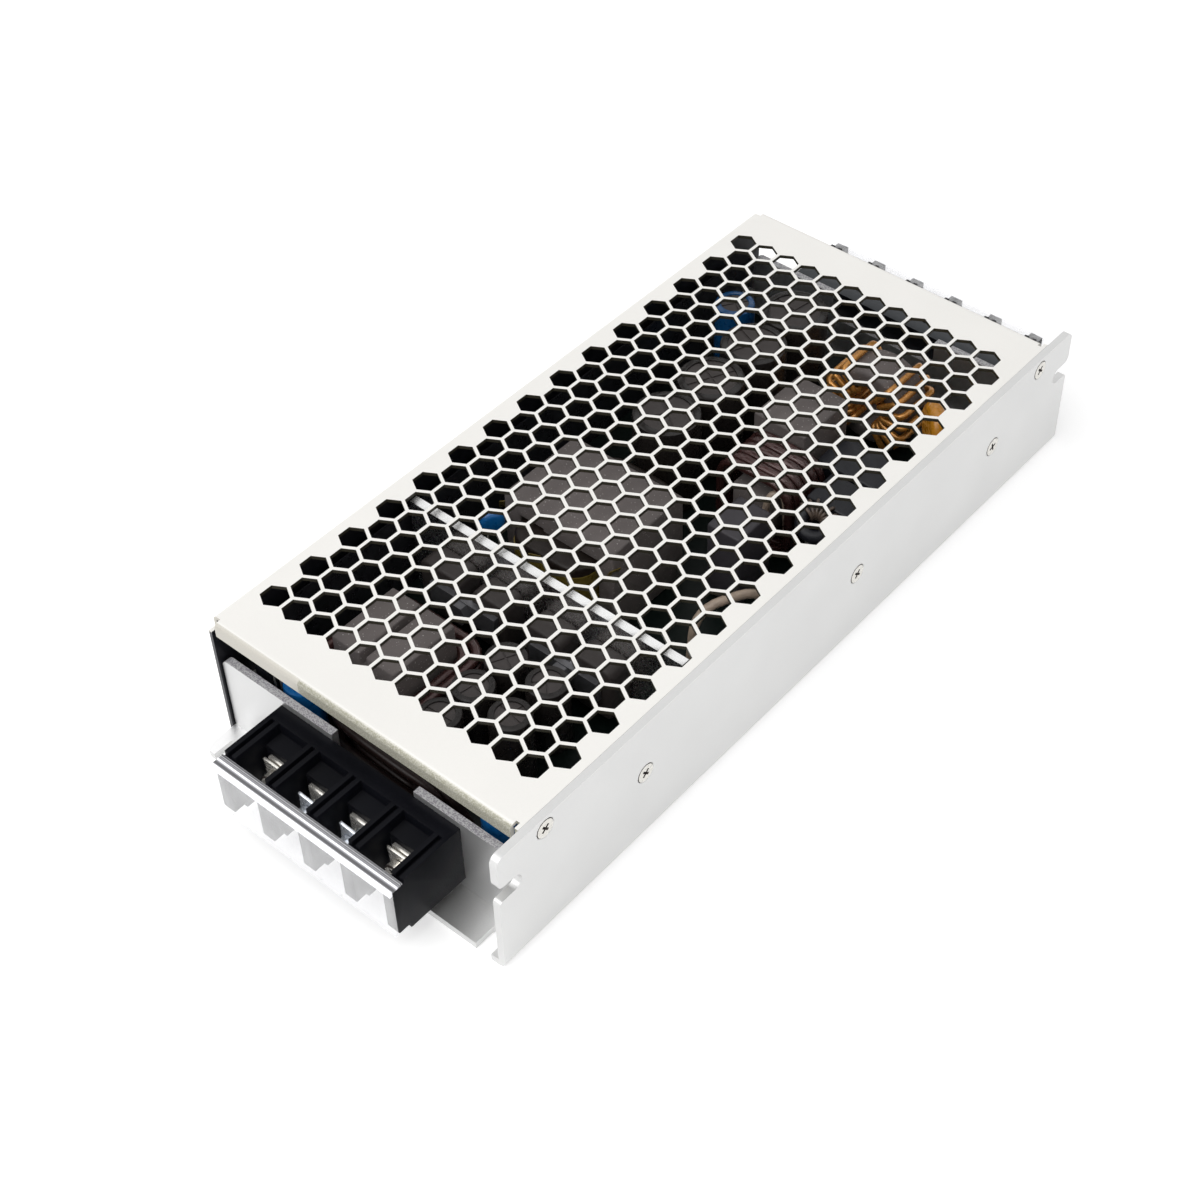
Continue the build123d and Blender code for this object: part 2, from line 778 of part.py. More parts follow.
with BuildPart() as input_choke_coil:
    with BuildSketch(Plane.XZ.offset(-input_choke_front)) as coil_plan:
        with Locations((input_choke_x, coil_middle_z)):
            Rectangle(input_coil_width, input_coil_height)
            chamfer(coil_plan.vertices(), coil_round)
            Rectangle(input_rod + 2 * ferrite_gap, input_rod + 2 * ferrite_gap, mode=Mode.SUBTRACT)
    extrude(amount=-input_coil_length + ferrite_gap)
save(input_choke_coil.part, "input_choke_coil")


# Filter choke: an upright ring with a winding on each side, its windings just above the board
ring_z = board_top + ring_seat + (ring_outer + winding_cover) * sin(radians(winding_arc / 2))
ring_plane = Plane.XZ.offset(-ring_y)
with BuildPart() as filter_ring:
    with BuildSketch(ring_plane):
        with Locations((ring_x, ring_z)):
            round_bar(ring_outer, large_flats)
            round_hole(ring_inner, large_flats)
    extrude(amount=ring_width / 2, both=True)
save(filter_ring.part, "filter_ring")

with BuildPart() as filter_windings:
    reach = ring_outer + winding_cover
    half_height = reach * sin(radians(winding_arc / 2))
    with BuildSketch(ring_plane):
        with Locations((ring_x, ring_z)):
            round_bar(reach, large_flats)
            round_hole(ring_inner - winding_cover, large_flats)
            Rectangle(3 * ring_outer, 2 * half_height, mode=Mode.INTERSECT)
            Rectangle(winding_gap, 3 * ring_outer, mode=Mode.SUBTRACT)
    extrude(amount=ring_width / 2 + winding_cover, both=True)
    with BuildSketch(ring_plane):
        with Locations((ring_x, ring_z)):
            round_bar(ring_outer + ferrite_gap, large_flats)
            round_hole(ring_inner - ferrite_gap, large_flats)
    extrude(amount=ring_width / 2 + ferrite_gap, both=True, mode=Mode.SUBTRACT)
save(filter_windings.part, "filter_windings")


def cans(places, radius, top):
    """Upright round capacitors standing on the board."""
    with BuildPart() as group:
        with BuildSketch(Plane.XY.offset(board_top)):
            with Locations(*places):
                round_bar(radius, large_flats)
        extrude(amount=top - board_top)
    return group.part


def boxes(places):
    """Box-shaped parts on the board: middle x and y, width, length and top height of each."""
    with BuildPart() as group:
        for x, y, width, length, top in places:
            with Locations((x, y, board_top)):
                Box(width, length, top - board_top, align=(Align.CENTER, Align.CENTER, Align.MIN))
    return group.part


bulk_places = [(bulk_x, bulk_front_y + index * bulk_pitch) for index in range(bulk_count)]
save(cans(bulk_places, bulk_radius, bulk_top), "bulk_capacitors")
save(cans(output_can_places, output_can_radius, output_can_top), "output_capacitors")
save(cans([sleeved_can_place], sleeved_can_radius, sleeved_can_top), "sleeved_capacitor")
save(cans(front_can_places, front_can_radius, front_can_top), "front_capacitors")
save(boxes(film_boxes), "film_capacitors")
save(boxes([grey_box]), "grey_capacitor")

# Surge disc on two legs
with BuildPart() as surge_disc:
    with BuildSketch(Plane.XZ.offset(-disc_y)):
        with Locations((disc_x, disc_z)):
            round_bar(disc_radius, large_flats)
    extrude(amount=disc_thickness / 2, both=True)
    with Locations((disc_x - leg_spacing / 2, disc_y, board_top), (disc_x + leg_spacing / 2, disc_y, board_top)):
        Box(leg_side, leg_side, disc_z - board_top, align=(Align.CENTER, Align.CENTER, Align.MIN))
save(surge_disc.part, "surge_disc")
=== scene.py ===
# %% [markdown]
# # An enclosed power converter, dressed for its picture
#
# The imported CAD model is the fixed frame: it says where every sheet, screw and coil sits. This script adds what a
# solid model leaves out: wire turns, screw recesses, round can shoulders, soft moulded corners, and a finish for
# every surface. All new pieces are drawn in millimetres in the frame's own place, and scaled to metres once at the
# end.

import math
import random

import bmesh
import bpy
from mathutils import Matrix, Quaternion, Vector


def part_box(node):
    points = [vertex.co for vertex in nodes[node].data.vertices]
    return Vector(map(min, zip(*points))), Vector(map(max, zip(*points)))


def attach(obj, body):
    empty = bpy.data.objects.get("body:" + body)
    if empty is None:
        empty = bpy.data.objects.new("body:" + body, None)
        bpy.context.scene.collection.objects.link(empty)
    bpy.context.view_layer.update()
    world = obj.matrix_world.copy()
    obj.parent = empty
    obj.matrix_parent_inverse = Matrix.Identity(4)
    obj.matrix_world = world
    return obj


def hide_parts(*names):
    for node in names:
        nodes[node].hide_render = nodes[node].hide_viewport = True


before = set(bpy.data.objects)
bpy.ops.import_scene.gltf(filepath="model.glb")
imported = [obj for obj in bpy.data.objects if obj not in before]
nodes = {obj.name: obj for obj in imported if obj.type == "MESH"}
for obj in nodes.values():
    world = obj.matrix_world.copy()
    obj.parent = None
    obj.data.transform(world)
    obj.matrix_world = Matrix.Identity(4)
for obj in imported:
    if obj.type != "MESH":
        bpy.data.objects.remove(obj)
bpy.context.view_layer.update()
mm = 0.001
print("nodes in the frame:", len(nodes))

# %% [markdown]
# ## The camera
#
# The picture was taken with a short telephoto lens, from in front, from the right and from 45 degrees above. The
# honeycomb is a ruler laid on the product, so the place, the lens and the small shift were worked out from it. A
# camera that is aimed by three angles is easier to read than a matrix, so the angles are kept.

# %% Camera
azimuth = math.radians(39.66)
elevation = math.radians(45.0)
roll = math.radians(-0.29)
towards_camera = Vector(
    (math.sin(azimuth) * math.cos(elevation), -math.cos(azimuth) * math.cos(elevation), math.sin(elevation))
)
camera_data = bpy.data.cameras.new("photo_camera")
camera_data.sensor_width = 36.0
camera_data.lens = 62.4
camera_data.shift_x = -0.0508
camera_data.shift_y = -0.0283
camera = bpy.data.objects.new("photo_camera", camera_data)
camera.location = (0.2379, -0.2864, 0.3789)
camera.rotation_mode = "QUATERNION"
camera.rotation_quaternion = (-towards_camera).to_track_quat("-Z", "Y") @ Quaternion((0, 0, 1), roll)
bpy.context.scene.collection.objects.link(camera)
bpy.context.scene.camera = camera
bpy.context.scene.view_settings.view_transform = "Standard"
print("camera", tuple(round(c, 4) for c in camera.location))

# %% [markdown]
# ## The studio
#
# The product stands on a white sweep under large soft lamps. The world is a soft dome of light: rays from the camera,
# and rays mirrored by metal or bent by clear plastic, see it as pure white, while it lights the parts a little less
# than that. The floor is nearly white and takes the faint shadow.

# %% World
world = bpy.data.worlds.new("studio")
bpy.context.scene.world = world
world.use_nodes = True
dome = world.node_tree
dome_light = dome.nodes["Background"]
dome_light.inputs["Color"].default_value = (1.0, 1.0, 1.0, 1.0)
dome_light.inputs["Strength"].default_value = 0.62
white_card = dome.nodes.new("ShaderNodeBackground")
white_card.inputs["Color"].default_value = (1.0, 1.0, 1.0, 1.0)
white_card.inputs["Strength"].default_value = 1.0


def maths(tree, operation, *sources):
    """The result of a math node. A source is a number or another node's output."""
    node = tree.nodes.new("ShaderNodeMath")
    node.operation = operation
    for socket, source in zip(node.inputs, sources):
        if isinstance(source, bpy.types.NodeSocket):
            tree.links.new(source, socket)
        else:
            socket.default_value = source
    return node.outputs[0]


def sees_white(tree):
    """1 for rays that should see a white studio: camera rays, mirrored rays and rays through clear plastic."""
    path = tree.nodes.new("ShaderNodeLightPath").outputs
    seen = maths(tree, "MAXIMUM", path["Is Camera Ray"], path["Is Glossy Ray"])
    return maths(tree, "MAXIMUM", seen, path["Is Transmission Ray"])


def blend_shaders(tree, share, first, second, output):
    """Makes a tree's surface from two shaders. Share is the part of the second one."""
    mix = tree.nodes.new("ShaderNodeMixShader")
    for source, socket in zip((share, first, second), mix.inputs):
        tree.links.new(source, socket)
    tree.links.new(mix.outputs["Shader"], tree.nodes[output].inputs["Surface"])


blend_shaders(
    dome, sees_white(dome), dome_light.outputs["Background"], white_card.outputs["Background"], "World Output")
print("world strength", dome_light.inputs["Strength"].default_value)

# %% Floor
floor_half = 2.0
floor_shape = bmesh.new()
bmesh.ops.create_grid(floor_shape, x_segments=1, y_segments=1, size=floor_half)
floor_mesh = bpy.data.meshes.new("floor")
floor_shape.to_mesh(floor_mesh)
floor_shape.free()
floor = bpy.data.objects.new("floor", floor_mesh)
bpy.context.scene.collection.objects.link(floor)
paper = bpy.data.materials.new("white_paper")
paper.use_nodes = True
paper_tree = paper.node_tree
paper_shader = paper_tree.nodes["Principled BSDF"]
paper_shader.inputs["Base Color"].default_value = (0.93, 0.93, 0.93, 1.0)
paper_shader.inputs["Roughness"].default_value = 0.9
paper_glow = paper_tree.nodes.new("ShaderNodeEmission")
paper_glow.inputs["Strength"].default_value = 0.35
paper_lit = paper_tree.nodes.new("ShaderNodeAddShader")
paper_tree.links.new(paper_shader.outputs["BSDF"], paper_lit.inputs[0])
paper_tree.links.new(paper_glow.outputs["Emission"], paper_lit.inputs[1])
blend_shaders(
    paper_tree, sees_white(paper_tree), paper_shader.outputs["BSDF"], paper_lit.outputs["Shader"], "Material Output")
floor_mesh.materials.append(paper)
print("floor", 2 * floor_half, "m wide")


# %% Lamps
def soft_box(name, place, size, power):
    """A square soft lamp that looks at the middle of the product."""
    aim = Vector((0.0, 0.0, 0.02))
    lamp_data = bpy.data.lights.new(name, "AREA")
    lamp_data.size = size
    lamp_data.energy = power
    lamp = bpy.data.objects.new(name, lamp_data)
    lamp.location = place
    lamp.rotation_mode = "QUATERNION"
    lamp.rotation_quaternion = (aim - Vector(place)).to_track_quat("-Z", "Y")
    bpy.context.scene.collection.objects.link(lamp)


soft_box("front_lamp", (-0.25, -0.85, 0.75), 0.7, 3.2)
soft_box("top_lamp", (0.0, -0.4, 1.0), 0.8, 2.4)
print("lamps placed")

# %% [markdown]
# ## Finishes
#
# Each finish is a small node tree on Object coordinates, so its grain stays fixed to the part and has a real size in
# millimetres. A finish is never one flat colour: a fine grain and a slow blotch move the tone, the roughness and the
# surface a little, as on the real material. One helper makes that common base, and the finishes that need more, such
# as sheared edges or clear plastic, add to it.


# %% Finish helpers
blotch_size = 18.0


def object_noise(tree, size, stretch=(1.0, 1.0, 1.0), detail=3.0):
    """A noise on Object coordinates whose lumps are about size millimetres wide."""
    coordinates = tree.nodes.new("ShaderNodeTexCoord")
    mapping = tree.nodes.new("ShaderNodeMapping")
    mapping.inputs["Scale"].default_value = stretch
    noise = tree.nodes.new("ShaderNodeTexNoise")
    noise.inputs["Scale"].default_value = 1.0 / (size * mm)
    noise.inputs["Detail"].default_value = detail
    tree.links.new(coordinates.outputs["Object"], mapping.inputs["Vector"])
    tree.links.new(mapping.outputs["Vector"], noise.inputs["Vector"])
    return noise.outputs["Fac"]


def tones(tree, source, stops):
    """Turns a 0..1 value into colours. Stops are (position, (red, green, blue))."""
    ramp = tree.nodes.new("ShaderNodeValToRGB")
    for index, (position, colour) in enumerate(stops):
        stop = ramp.color_ramp.elements[index] if index < 2 else ramp.color_ramp.elements.new(position)
        stop.position = position
        stop.color = (*colour, 1.0)
    tree.links.new(source, ramp.inputs["Fac"])
    return ramp.outputs["Color"]


def levels(tree, source, low, high, from_low=0.3, from_high=0.7):
    """Stretches a value to a range of numbers."""
    stretch = tree.nodes.new("ShaderNodeMapRange")
    stretch.inputs["From Min"].default_value = from_low
    stretch.inputs["From Max"].default_value = from_high
    stretch.inputs["To Min"].default_value = low
    stretch.inputs["To Max"].default_value = high
    tree.links.new(source, stretch.inputs["Value"])
    return stretch.outputs["Result"]


def vector_parts(tree, kind, output):
    """The X, Y and Z outputs of a vector, such as the way a surface faces or its place on the object."""
    source = tree.nodes.new(kind)
    split = tree.nodes.new("ShaderNodeSeparateXYZ")
    tree.links.new(source.outputs[output], split.inputs["Vector"])
    return split.outputs


def surface_facing(tree):
    return vector_parts(tree, "ShaderNodeNewGeometry", "Normal")


def object_place(tree):
    return vector_parts(tree, "ShaderNodeTexCoord", "Object")


def mixed_in(finish, colour, amount):
    """Mixes a colour into a finish, as much as amount says at each place."""
    tree = finish.node_tree
    shader = tree.nodes["Principled BSDF"]
    skin = shader.inputs["Base Color"].links[0].from_socket
    mix = tree.nodes.new("ShaderNodeMix")
    mix.data_type = "RGBA"
    mix.inputs["B"].default_value = (*colour, 1.0)
    tree.links.new(amount, mix.inputs["Factor"])
    tree.links.new(skin, mix.inputs["A"])
    tree.links.new(mix.outputs["Result"], shader.inputs["Base Color"])
    return finish


def shade(colour, amount):
    return tuple(min(1.0, channel * amount) for channel in colour)


def grained(name, colour, rough, metal=0.0, grain=0.35, depth=0.02, spread=0.06, coat=0.0, gloss=0.5):
    """The common base of a finish: tone, roughness and relief from a fine grain and a slow blotch.

    Grain is the size of the fine lumps and depth their height, both in millimetres. Spread is how far the tone moves.
    """
    finish = bpy.data.materials.new(name)
    finish.use_nodes = True
    tree = finish.node_tree
    shader = tree.nodes["Principled BSDF"]
    shader.inputs["Metallic"].default_value = metal
    shader.inputs["Specular IOR Level"].default_value = gloss
    if coat:
        shader.inputs["Coat Weight"].default_value = coat
    fine = object_noise(tree, grain)
    slow = object_noise(tree, blotch_size, detail=1.0)
    tone = tones(tree, levels(tree, maths(tree, "ADD", fine, slow), 0.0, 1.0, 0.7, 1.3),
                 [(0.0, shade(colour, 1.0 - spread)), (1.0, shade(colour, 1.0 + spread))])
    tree.links.new(tone, shader.inputs["Base Color"])
    tree.links.new(levels(tree, fine, rough - 0.06, rough + 0.06), shader.inputs["Roughness"])
    relief = tree.nodes.new("ShaderNodeBump")
    relief.inputs["Distance"].default_value = depth * mm
    relief.inputs["Strength"].default_value = 0.6
    tree.links.new(fine, relief.inputs["Height"])
    tree.links.new(relief.outputs["Normal"], shader.inputs["Normal"])
    return finish


print("finish helpers ready")

# %% [markdown]
# ### Sheet metal
#
# The cover is a thin pale sheet with a warm satin skin, and the chassis is bare aluminium, a little cooler. Where a
# sheet was sheared, its edge is torn and speckled along its length. The end panels show that best, on their top
# edges, so their finish asks which way a surface faces and mixes dark strokes into faces that look straight up.


# %% Sheet metal finishes
def sheared_strokes(finish, stroke_colour, size, stretch):
    """Dark strokes on faces that look straight up, where the sheet was cut."""
    tree = finish.node_tree
    up = levels(tree, surface_facing(tree)["Z"], 0.0, 1.0, 0.75, 0.95)
    strokes = levels(tree, object_noise(tree, size, stretch, 4.0), 0.0, 1.0, 0.47, 0.56)
    return mixed_in(finish, stroke_colour, maths(tree, "MULTIPLY", up, strokes))


def paint_light_or_shade(finish, colour, facing, window, mottle=0.0):
    """Paints light or shade: mixes a colour into faces that look one way, inside a window of places in millimetres.

    Facing is (axis, where the tint starts, where it is full) for the size of the normal along that axis. The window
    is a list of (axis, middle, reach). A mottle is the size of the lumps that break the tint up.
    """
    tree = finish.node_tree
    axis, starts, full = facing
    lean = maths(tree, "ABSOLUTE", surface_facing(tree)[axis])
    amount = levels(tree, lean, 0.0, 1.0, starts, full)
    place = object_place(tree)
    for axis, middle, reach in window:
        amount = maths(tree, "MULTIPLY", amount, maths(tree, "COMPARE", place[axis], middle * mm, reach * mm))
    if mottle:
        lumps = levels(tree, object_noise(tree, mottle, detail=4.0), 0.7, 1.0, 0.4, 0.55)
        amount = maths(tree, "MULTIPLY", amount, lumps)
    return mixed_in(finish, colour, amount)


cover_skin = grained("cover_skin", (0.92, 0.905, 0.87), 0.42, metal=0.3, grain=0.3, depth=0.006, spread=0.015)
# Painted shade on the lips, with less of it on their left part
paint_light_or_shade(cover_skin, (0.34, 0.33, 0.255), ("Y", 0.3, 0.65), [("Z", 36.0, 2.2)], mottle=0.3)
paint_light_or_shade(cover_skin, (0.60, 0.575, 0.52), ("Y", 0.3, 0.65), [("X", -34.0, 15.0), ("Z", 36.0, 2.2)], mottle=0.3)
# Painted shade on the walls of the holes
paint_light_or_shade(cover_skin, (0.05, 0.045, 0.03), ("Z", 0.6, 0.2), [("X", -0.5, 45.5), ("Y", 0.0, 95.0), ("Z", 37.5, 1.0)])
# Painted shade on the inner face and the end edges of the left side
paint_light_or_shade(cover_skin, (0.015, 0.015, 0.02), ("X", 0.5, 0.8), [("X", -47.1, 0.4), ("Z", 18.0, 18.6)])
paint_light_or_shade(cover_skin, (0.06, 0.06, 0.07), ("Y", 0.5, 0.8), [("X", -47.6, 0.8), ("Z", 17.0, 17.2)])
chassis_skin = grained("chassis_skin", (0.69, 0.69, 0.685), 0.38, metal=0.8, depth=0.012, spread=0.03)
# Painted light on the front ledge of the base, left of the block: its up-facing faces are tinted white
paint_light_or_shade(chassis_skin, (1.0, 1.0, 1.0), ("Z", 0.5, 0.9), [("X", -38.0, 14.0), ("Y", -108.0, 10.0), ("Z", 1.5, 2.0)])
panel_skin = sheared_strokes(
    grained("panel_skin", (0.66, 0.66, 0.66), 0.36, metal=0.85, depth=0.012, spread=0.03),
    (0.36, 0.34, 0.38), 0.28, (0.6, 1.0, 1.0))
# Torn edges mirror less than the faces
panel_tree = panel_skin.node_tree
panel_metal = levels(panel_tree, surface_facing(panel_tree)["Z"], 0.85, 0.1, 0.5, 0.9)
panel_tree.links.new(panel_metal, panel_tree.nodes["Principled BSDF"].inputs["Metallic"])
heat_metal = grained("heat_metal", (0.93, 0.93, 0.93), 0.28, metal=1.0, grain=0.5, depth=0.01, spread=0.04)
zinc = grained("zinc", (0.82, 0.86, 0.92), 0.24, metal=0.65, grain=0.6, depth=0.01, spread=0.08)
nickel_skin = grained("nickel_skin", (0.90, 0.87, 0.81), 0.22, metal=0.75, grain=0.8, depth=0.008)
dark_steel = grained("dark_steel", (0.16, 0.16, 0.17), 0.38, metal=0.6, grain=0.6, depth=0.01, spread=0.1)
screw_skin = grained("screw_skin", (0.80, 0.78, 0.73), 0.3, metal=0.5, grain=0.8, depth=0.008, spread=0.08)
# Painted shade: the dark finish of the screw recesses and of a thin rim round each head
recess_shade = grained("recess_shade", (0.06, 0.05, 0.045), 0.5, metal=0.3, grain=0.4, depth=0.01, spread=0.4)
print("sheet finishes:", cover_skin.name, chassis_skin.name, panel_skin.name)

# %% [markdown]
# ### Mouldings, ferrite, sleeves and wire
#
# The terminal blocks are a matt black moulding. Ferrite is a taupe ceramic with a fine sandy grain and a few pale
# specks. The cans wear shrink sleeves with a soft gloss. Enamelled wire is glossy and changes tone from turn to turn.


# %% Plastic, ferrite and wire finishes
def speckled(finish, colour, size, share):
    """Scatters small pale specks over a finish."""
    tree = finish.node_tree
    specks = levels(tree, object_noise(tree, size, detail=0.0), 0.0, 1.0, 1.0 - share, 1.0 - share + 0.02)
    return mixed_in(finish, colour, specks)


black_moulding = grained(
    "black_moulding", (0.004, 0.0043, 0.0065), 0.42, grain=0.25, spread=0.3, gloss=0.08)
# The input block: a near-black moulding with painted light, its faces that look up or down tinted a lighter slate grey
moulding_painted_top_light = paint_light_or_shade(
    grained("moulding_painted_top_light", (0.0065, 0.007, 0.0095), 0.42, grain=0.25, spread=0.3, gloss=0.22),
    (0.060, 0.066, 0.074), ("Z", 0.5, 0.8), [("Y", 106.5, 7.0)])
ferrite_body = speckled(
    grained("ferrite_body", (0.155, 0.135, 0.130), 0.6, grain=0.25, spread=0.1),
    (0.42, 0.40, 0.38), 0.5, 0.24)
can_sleeve = grained("can_sleeve", (0.018, 0.015, 0.014), 0.3, grain=1.5, depth=0.01, spread=0.15, gloss=0.4)
can_top = grained("can_top", (0.066, 0.057, 0.055), 0.55, grain=0.4, spread=0.12, gloss=0.4)
blue_sleeve = grained("blue_sleeve", (0.004, 0.075, 0.22), 0.3, grain=1.5, depth=0.01, spread=0.15, coat=0.4)
bright_blue = grained("bright_blue", (0.003, 0.13, 0.40), 0.3, grain=1.5, depth=0.01, spread=0.12, coat=0.4)
silicone = grained("silicone", (0.040, 0.033, 0.031), 0.5, grain=0.6, spread=0.12, gloss=0.4)
dark_case = grained("dark_case", (0.014, 0.015, 0.020), 0.4, grain=0.3, spread=0.2, gloss=0.4)
grey_case = grained("grey_case", (0.055, 0.050, 0.058), 0.5, grain=0.3, spread=0.08)
orange_coat = grained("orange_coat", (0.72, 0.30, 0.02), 0.28, grain=1.2, depth=0.04, spread=0.12, coat=0.5)
tape_yellow = grained("tape_yellow", (0.16, 0.115, 0.02), 0.3, grain=2.0, depth=0.03, spread=0.2)
dark_wrap = grained("dark_wrap", (0.016, 0.011, 0.009), 0.35, grain=1.2, depth=0.03, spread=0.3, gloss=0.3)
gold_wire = grained("gold_wire", (0.62, 0.28, 0.06), 0.28, metal=0.5, grain=1.8, depth=0.01, spread=0.2, coat=0.5)
red_wire = grained("red_wire", (0.062, 0.024, 0.022), 0.3, metal=0.35, grain=2.2, spread=0.3, coat=0.5)
tan_wire = grained("tan_wire", (0.46, 0.36, 0.28), 0.4, grain=1.6, spread=0.2, coat=0.2)
brown_wire = grained("brown_wire", (0.15, 0.11, 0.085), 0.3, grain=1.6, spread=0.3, coat=0.3)
dark_lead = grained("dark_lead", (0.016, 0.008, 0.007), 0.4, grain=1.6, depth=0.01, spread=0.3, gloss=0.3)
# The board: a near-black solder mask, darkened further as painted shade for the depth inside the case
board_mask_and_shade = grained("board_mask_and_shade", (0.003, 0.006, 0.005), 0.35, grain=1.1, spread=0.4, gloss=0.2)
black_film = grained("black_film", (0.02, 0.02, 0.023), 0.3, grain=4.0, spread=0.2, gloss=0.4)
print("plastic and wire finishes ready")

# %% [markdown]
# ### Clear plastic
#
# The terminal covers are clear but hazy: what stands behind the plate looks washed with white, and white behind it
# stays white. So the plate lets straight light through and adds a share of milky white, and a painted glow: a little
# white light of its own. The output ledge's bright and dark lines, which its ribs would draw, are painted highlight and
# shade that glow in their own tone. Those lines are stripes across its depth, which is the distance from the middle of
# the product, so one set of stripes would fit both covers; only the output ledge has them.


# %% Clear plastic finishes
def see_through(finish, share, glow):
    """Makes a finish partly clear: a share of it is seen, the rest lets straight light through. Glow is painted light:
    white emission of that strength.
    """
    tree = finish.node_tree
    shader = tree.nodes["Principled BSDF"]
    shader.inputs["Emission Color"].default_value = (1.0, 1.0, 1.0, 1.0)
    shader.inputs["Emission Strength"].default_value = glow
    clear = tree.nodes.new("ShaderNodeBsdfTransparent")
    clear.inputs["Color"].default_value = (0.985, 0.985, 0.99, 1.0)
    haze = levels(tree, object_noise(tree, 2.5, (1.0, 1.0, 0.3)), share - 0.04, share + 0.04)
    blend_shaders(tree, haze, clear.outputs["BSDF"], shader.outputs["BSDF"], "Material Output")
    return finish


def paint_rib_lines(finish, near, far, stops):
    """Gives a finish tones that follow the distance from the middle of the product: painted highlight and shade for the
    ribs' lines, set as both its colour and its glow.
    """
    tree = finish.node_tree
    distance = maths(tree, "ABSOLUTE", object_place(tree)["Y"])
    stripes = tones(tree, levels(tree, distance, 0.0, 1.0, near * mm, far * mm), stops)
    shader = tree.nodes["Principled BSDF"]
    tree.links.new(stripes, shader.inputs["Base Color"])
    tree.links.new(stripes, shader.inputs["Emission Color"])
    return finish


def grey(value):
    """A grey that is a little blue."""
    return (value, value, min(1.0, value * 1.05))


def clear_plastic(name, rough):
    return grained(name, (0.95, 0.95, 0.96), rough, grain=1.2, depth=0.005, spread=0.02)


# Painted highlight and shade: grey tones across the ledge's depth that stand for the lines its ribs draw
rib_line_painted_tones = (
    (0.0, 0.55), (0.05, 0.08), (0.12, 0.05), (0.16, 0.45), (0.20, 0.07), (0.27, 0.35), (0.31, 0.08), (0.38, 0.9),
    (0.46, 0.95), (0.52, 0.28), (0.62, 0.08), (0.76, 0.13), (0.84, 0.95),
)
rib_line_painted_stops = [(position, grey(value)) for position, value in rib_line_painted_tones]
# All three clear finishes have a painted glow, and the ribbed ledge also has the painted rib lines
hazy_plate_painted_glow = see_through(clear_plastic("hazy_plate_painted_glow", 0.2), 0.24, 0.3)
ribbed_ledge_painted_lines = see_through(paint_rib_lines(clear_plastic("ribbed_ledge_painted_lines", 0.12), 119.35, 123.15, rib_line_painted_stops), 0.85, 0.45)
faint_ledge_painted_glow = see_through(clear_plastic("faint_ledge_painted_glow", 0.2), 0.12, 0.5)
print("clear finishes:", hazy_plate_painted_glow.name, ribbed_ledge_painted_lines.name, faint_ledge_painted_glow.name)

# %% [markdown]
# ## Dress the CAD nodes
#
# Most sheets and blocks have the right shape already, so they only get a finish, put into the object's own material
# slot. What is replaced further down by a finer piece gets its finish there.


# %% Finishes on the CAD nodes
def dress(node, finish):
    for place in nodes[node].material_slots:
        place.material = finish


plain_nodes = {
    "chassis": chassis_skin, "cover": cover_skin, "front_panel": panel_skin, "rear_panel": panel_skin,
    "heat_plate": heat_metal, "side_heat_bar": heat_metal, "clamp_bars": dark_steel, "clamp_bolts": dark_steel,
    "board_pillars": zinc, "circuit_board": board_mask_and_shade, "insulating_sheet": black_film,
    "side_devices": black_moulding,
}
for node, finish in plain_nodes.items():
    dress(node, finish)
print("dressed", len(plain_nodes), "nodes")

# %% [markdown]
# ## Tools for new pieces
#
# A piece starts as a bmesh in millimetres. `make_piece` scales it, gives it its finish, puts it on the body it rides on
# and hides the CAD nodes it stands for. A shape that is used many times, such as a screw or a turn of wire, is drawn
# once as a pattern and stamped at each place.


# %% Piece helpers
def make_piece(shape, name, finishes, replaces=(), body="root", smooth=35.0):
    """Turns a shape into an object that rides on a body. Edges sharper than smooth, in degrees, stay sharp."""
    bmesh.ops.recalc_face_normals(shape, faces=shape.faces)
    bmesh.ops.scale(shape, vec=(mm, mm, mm), verts=shape.verts)
    mesh = bpy.data.meshes.new(name)
    shape.to_mesh(mesh)
    shape.free()
    for finish in finishes:
        mesh.materials.append(finish)
    mesh.shade_smooth()
    mesh.set_sharp_from_angle(angle=math.radians(smooth))
    piece = bpy.data.objects.new(name, mesh)
    bpy.context.scene.collection.objects.link(piece)
    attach(piece, body)
    if replaces:
        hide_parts(*replaces)
    return piece


def as_pattern(shape):
    """Keeps a drawn shape as a mesh that can be stamped many times."""
    pattern = bpy.data.meshes.new("pattern")
    shape.to_mesh(pattern)
    shape.free()
    return pattern


def stamp(shape, pattern, matrix):
    """Adds a copy of a pattern at a place, and returns its faces."""
    vert_count, face_count = len(shape.verts), len(shape.faces)
    shape.from_mesh(pattern)
    shape.verts.ensure_lookup_table()
    shape.faces.ensure_lookup_table()
    bmesh.ops.transform(shape, matrix=matrix, verts=shape.verts[vert_count:])
    return shape.faces[face_count:]


def box_mm(node):
    """The low and high corner of a CAD node."""
    low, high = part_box(node)
    return low / mm, high / mm


def new_verts(geometry):
    return [item for item in geometry if isinstance(item, bmesh.types.BMVert)]


def new_edges(geometry, verts):
    kept = set(verts)
    return [item for item in geometry if isinstance(item, bmesh.types.BMEdge) and set(item.verts) <= kept]


def pull_loop(shape, loop, move=(0.0, 0.0, 0.0), grow=1.0):
    """Extrudes a loop of edges, moves the new loop and scales it across its own middle. Returns the new loop."""
    made = bmesh.ops.extrude_edge_only(shape, edges=loop)["geom"]
    verts = new_verts(made)
    bmesh.ops.translate(shape, verts=verts, vec=move)
    if grow != 1.0:
        middle = sum((vert.co for vert in verts), Vector()) / len(verts)
        bmesh.ops.scale(shape, vec=(grow, grow, grow), verts=verts, space=Matrix.Translation(-middle))
    return new_edges(made, verts)


def edges_at(verts):
    """The edges that end at some vertices."""
    return list({edge for vert in verts for edge in vert.link_edges})


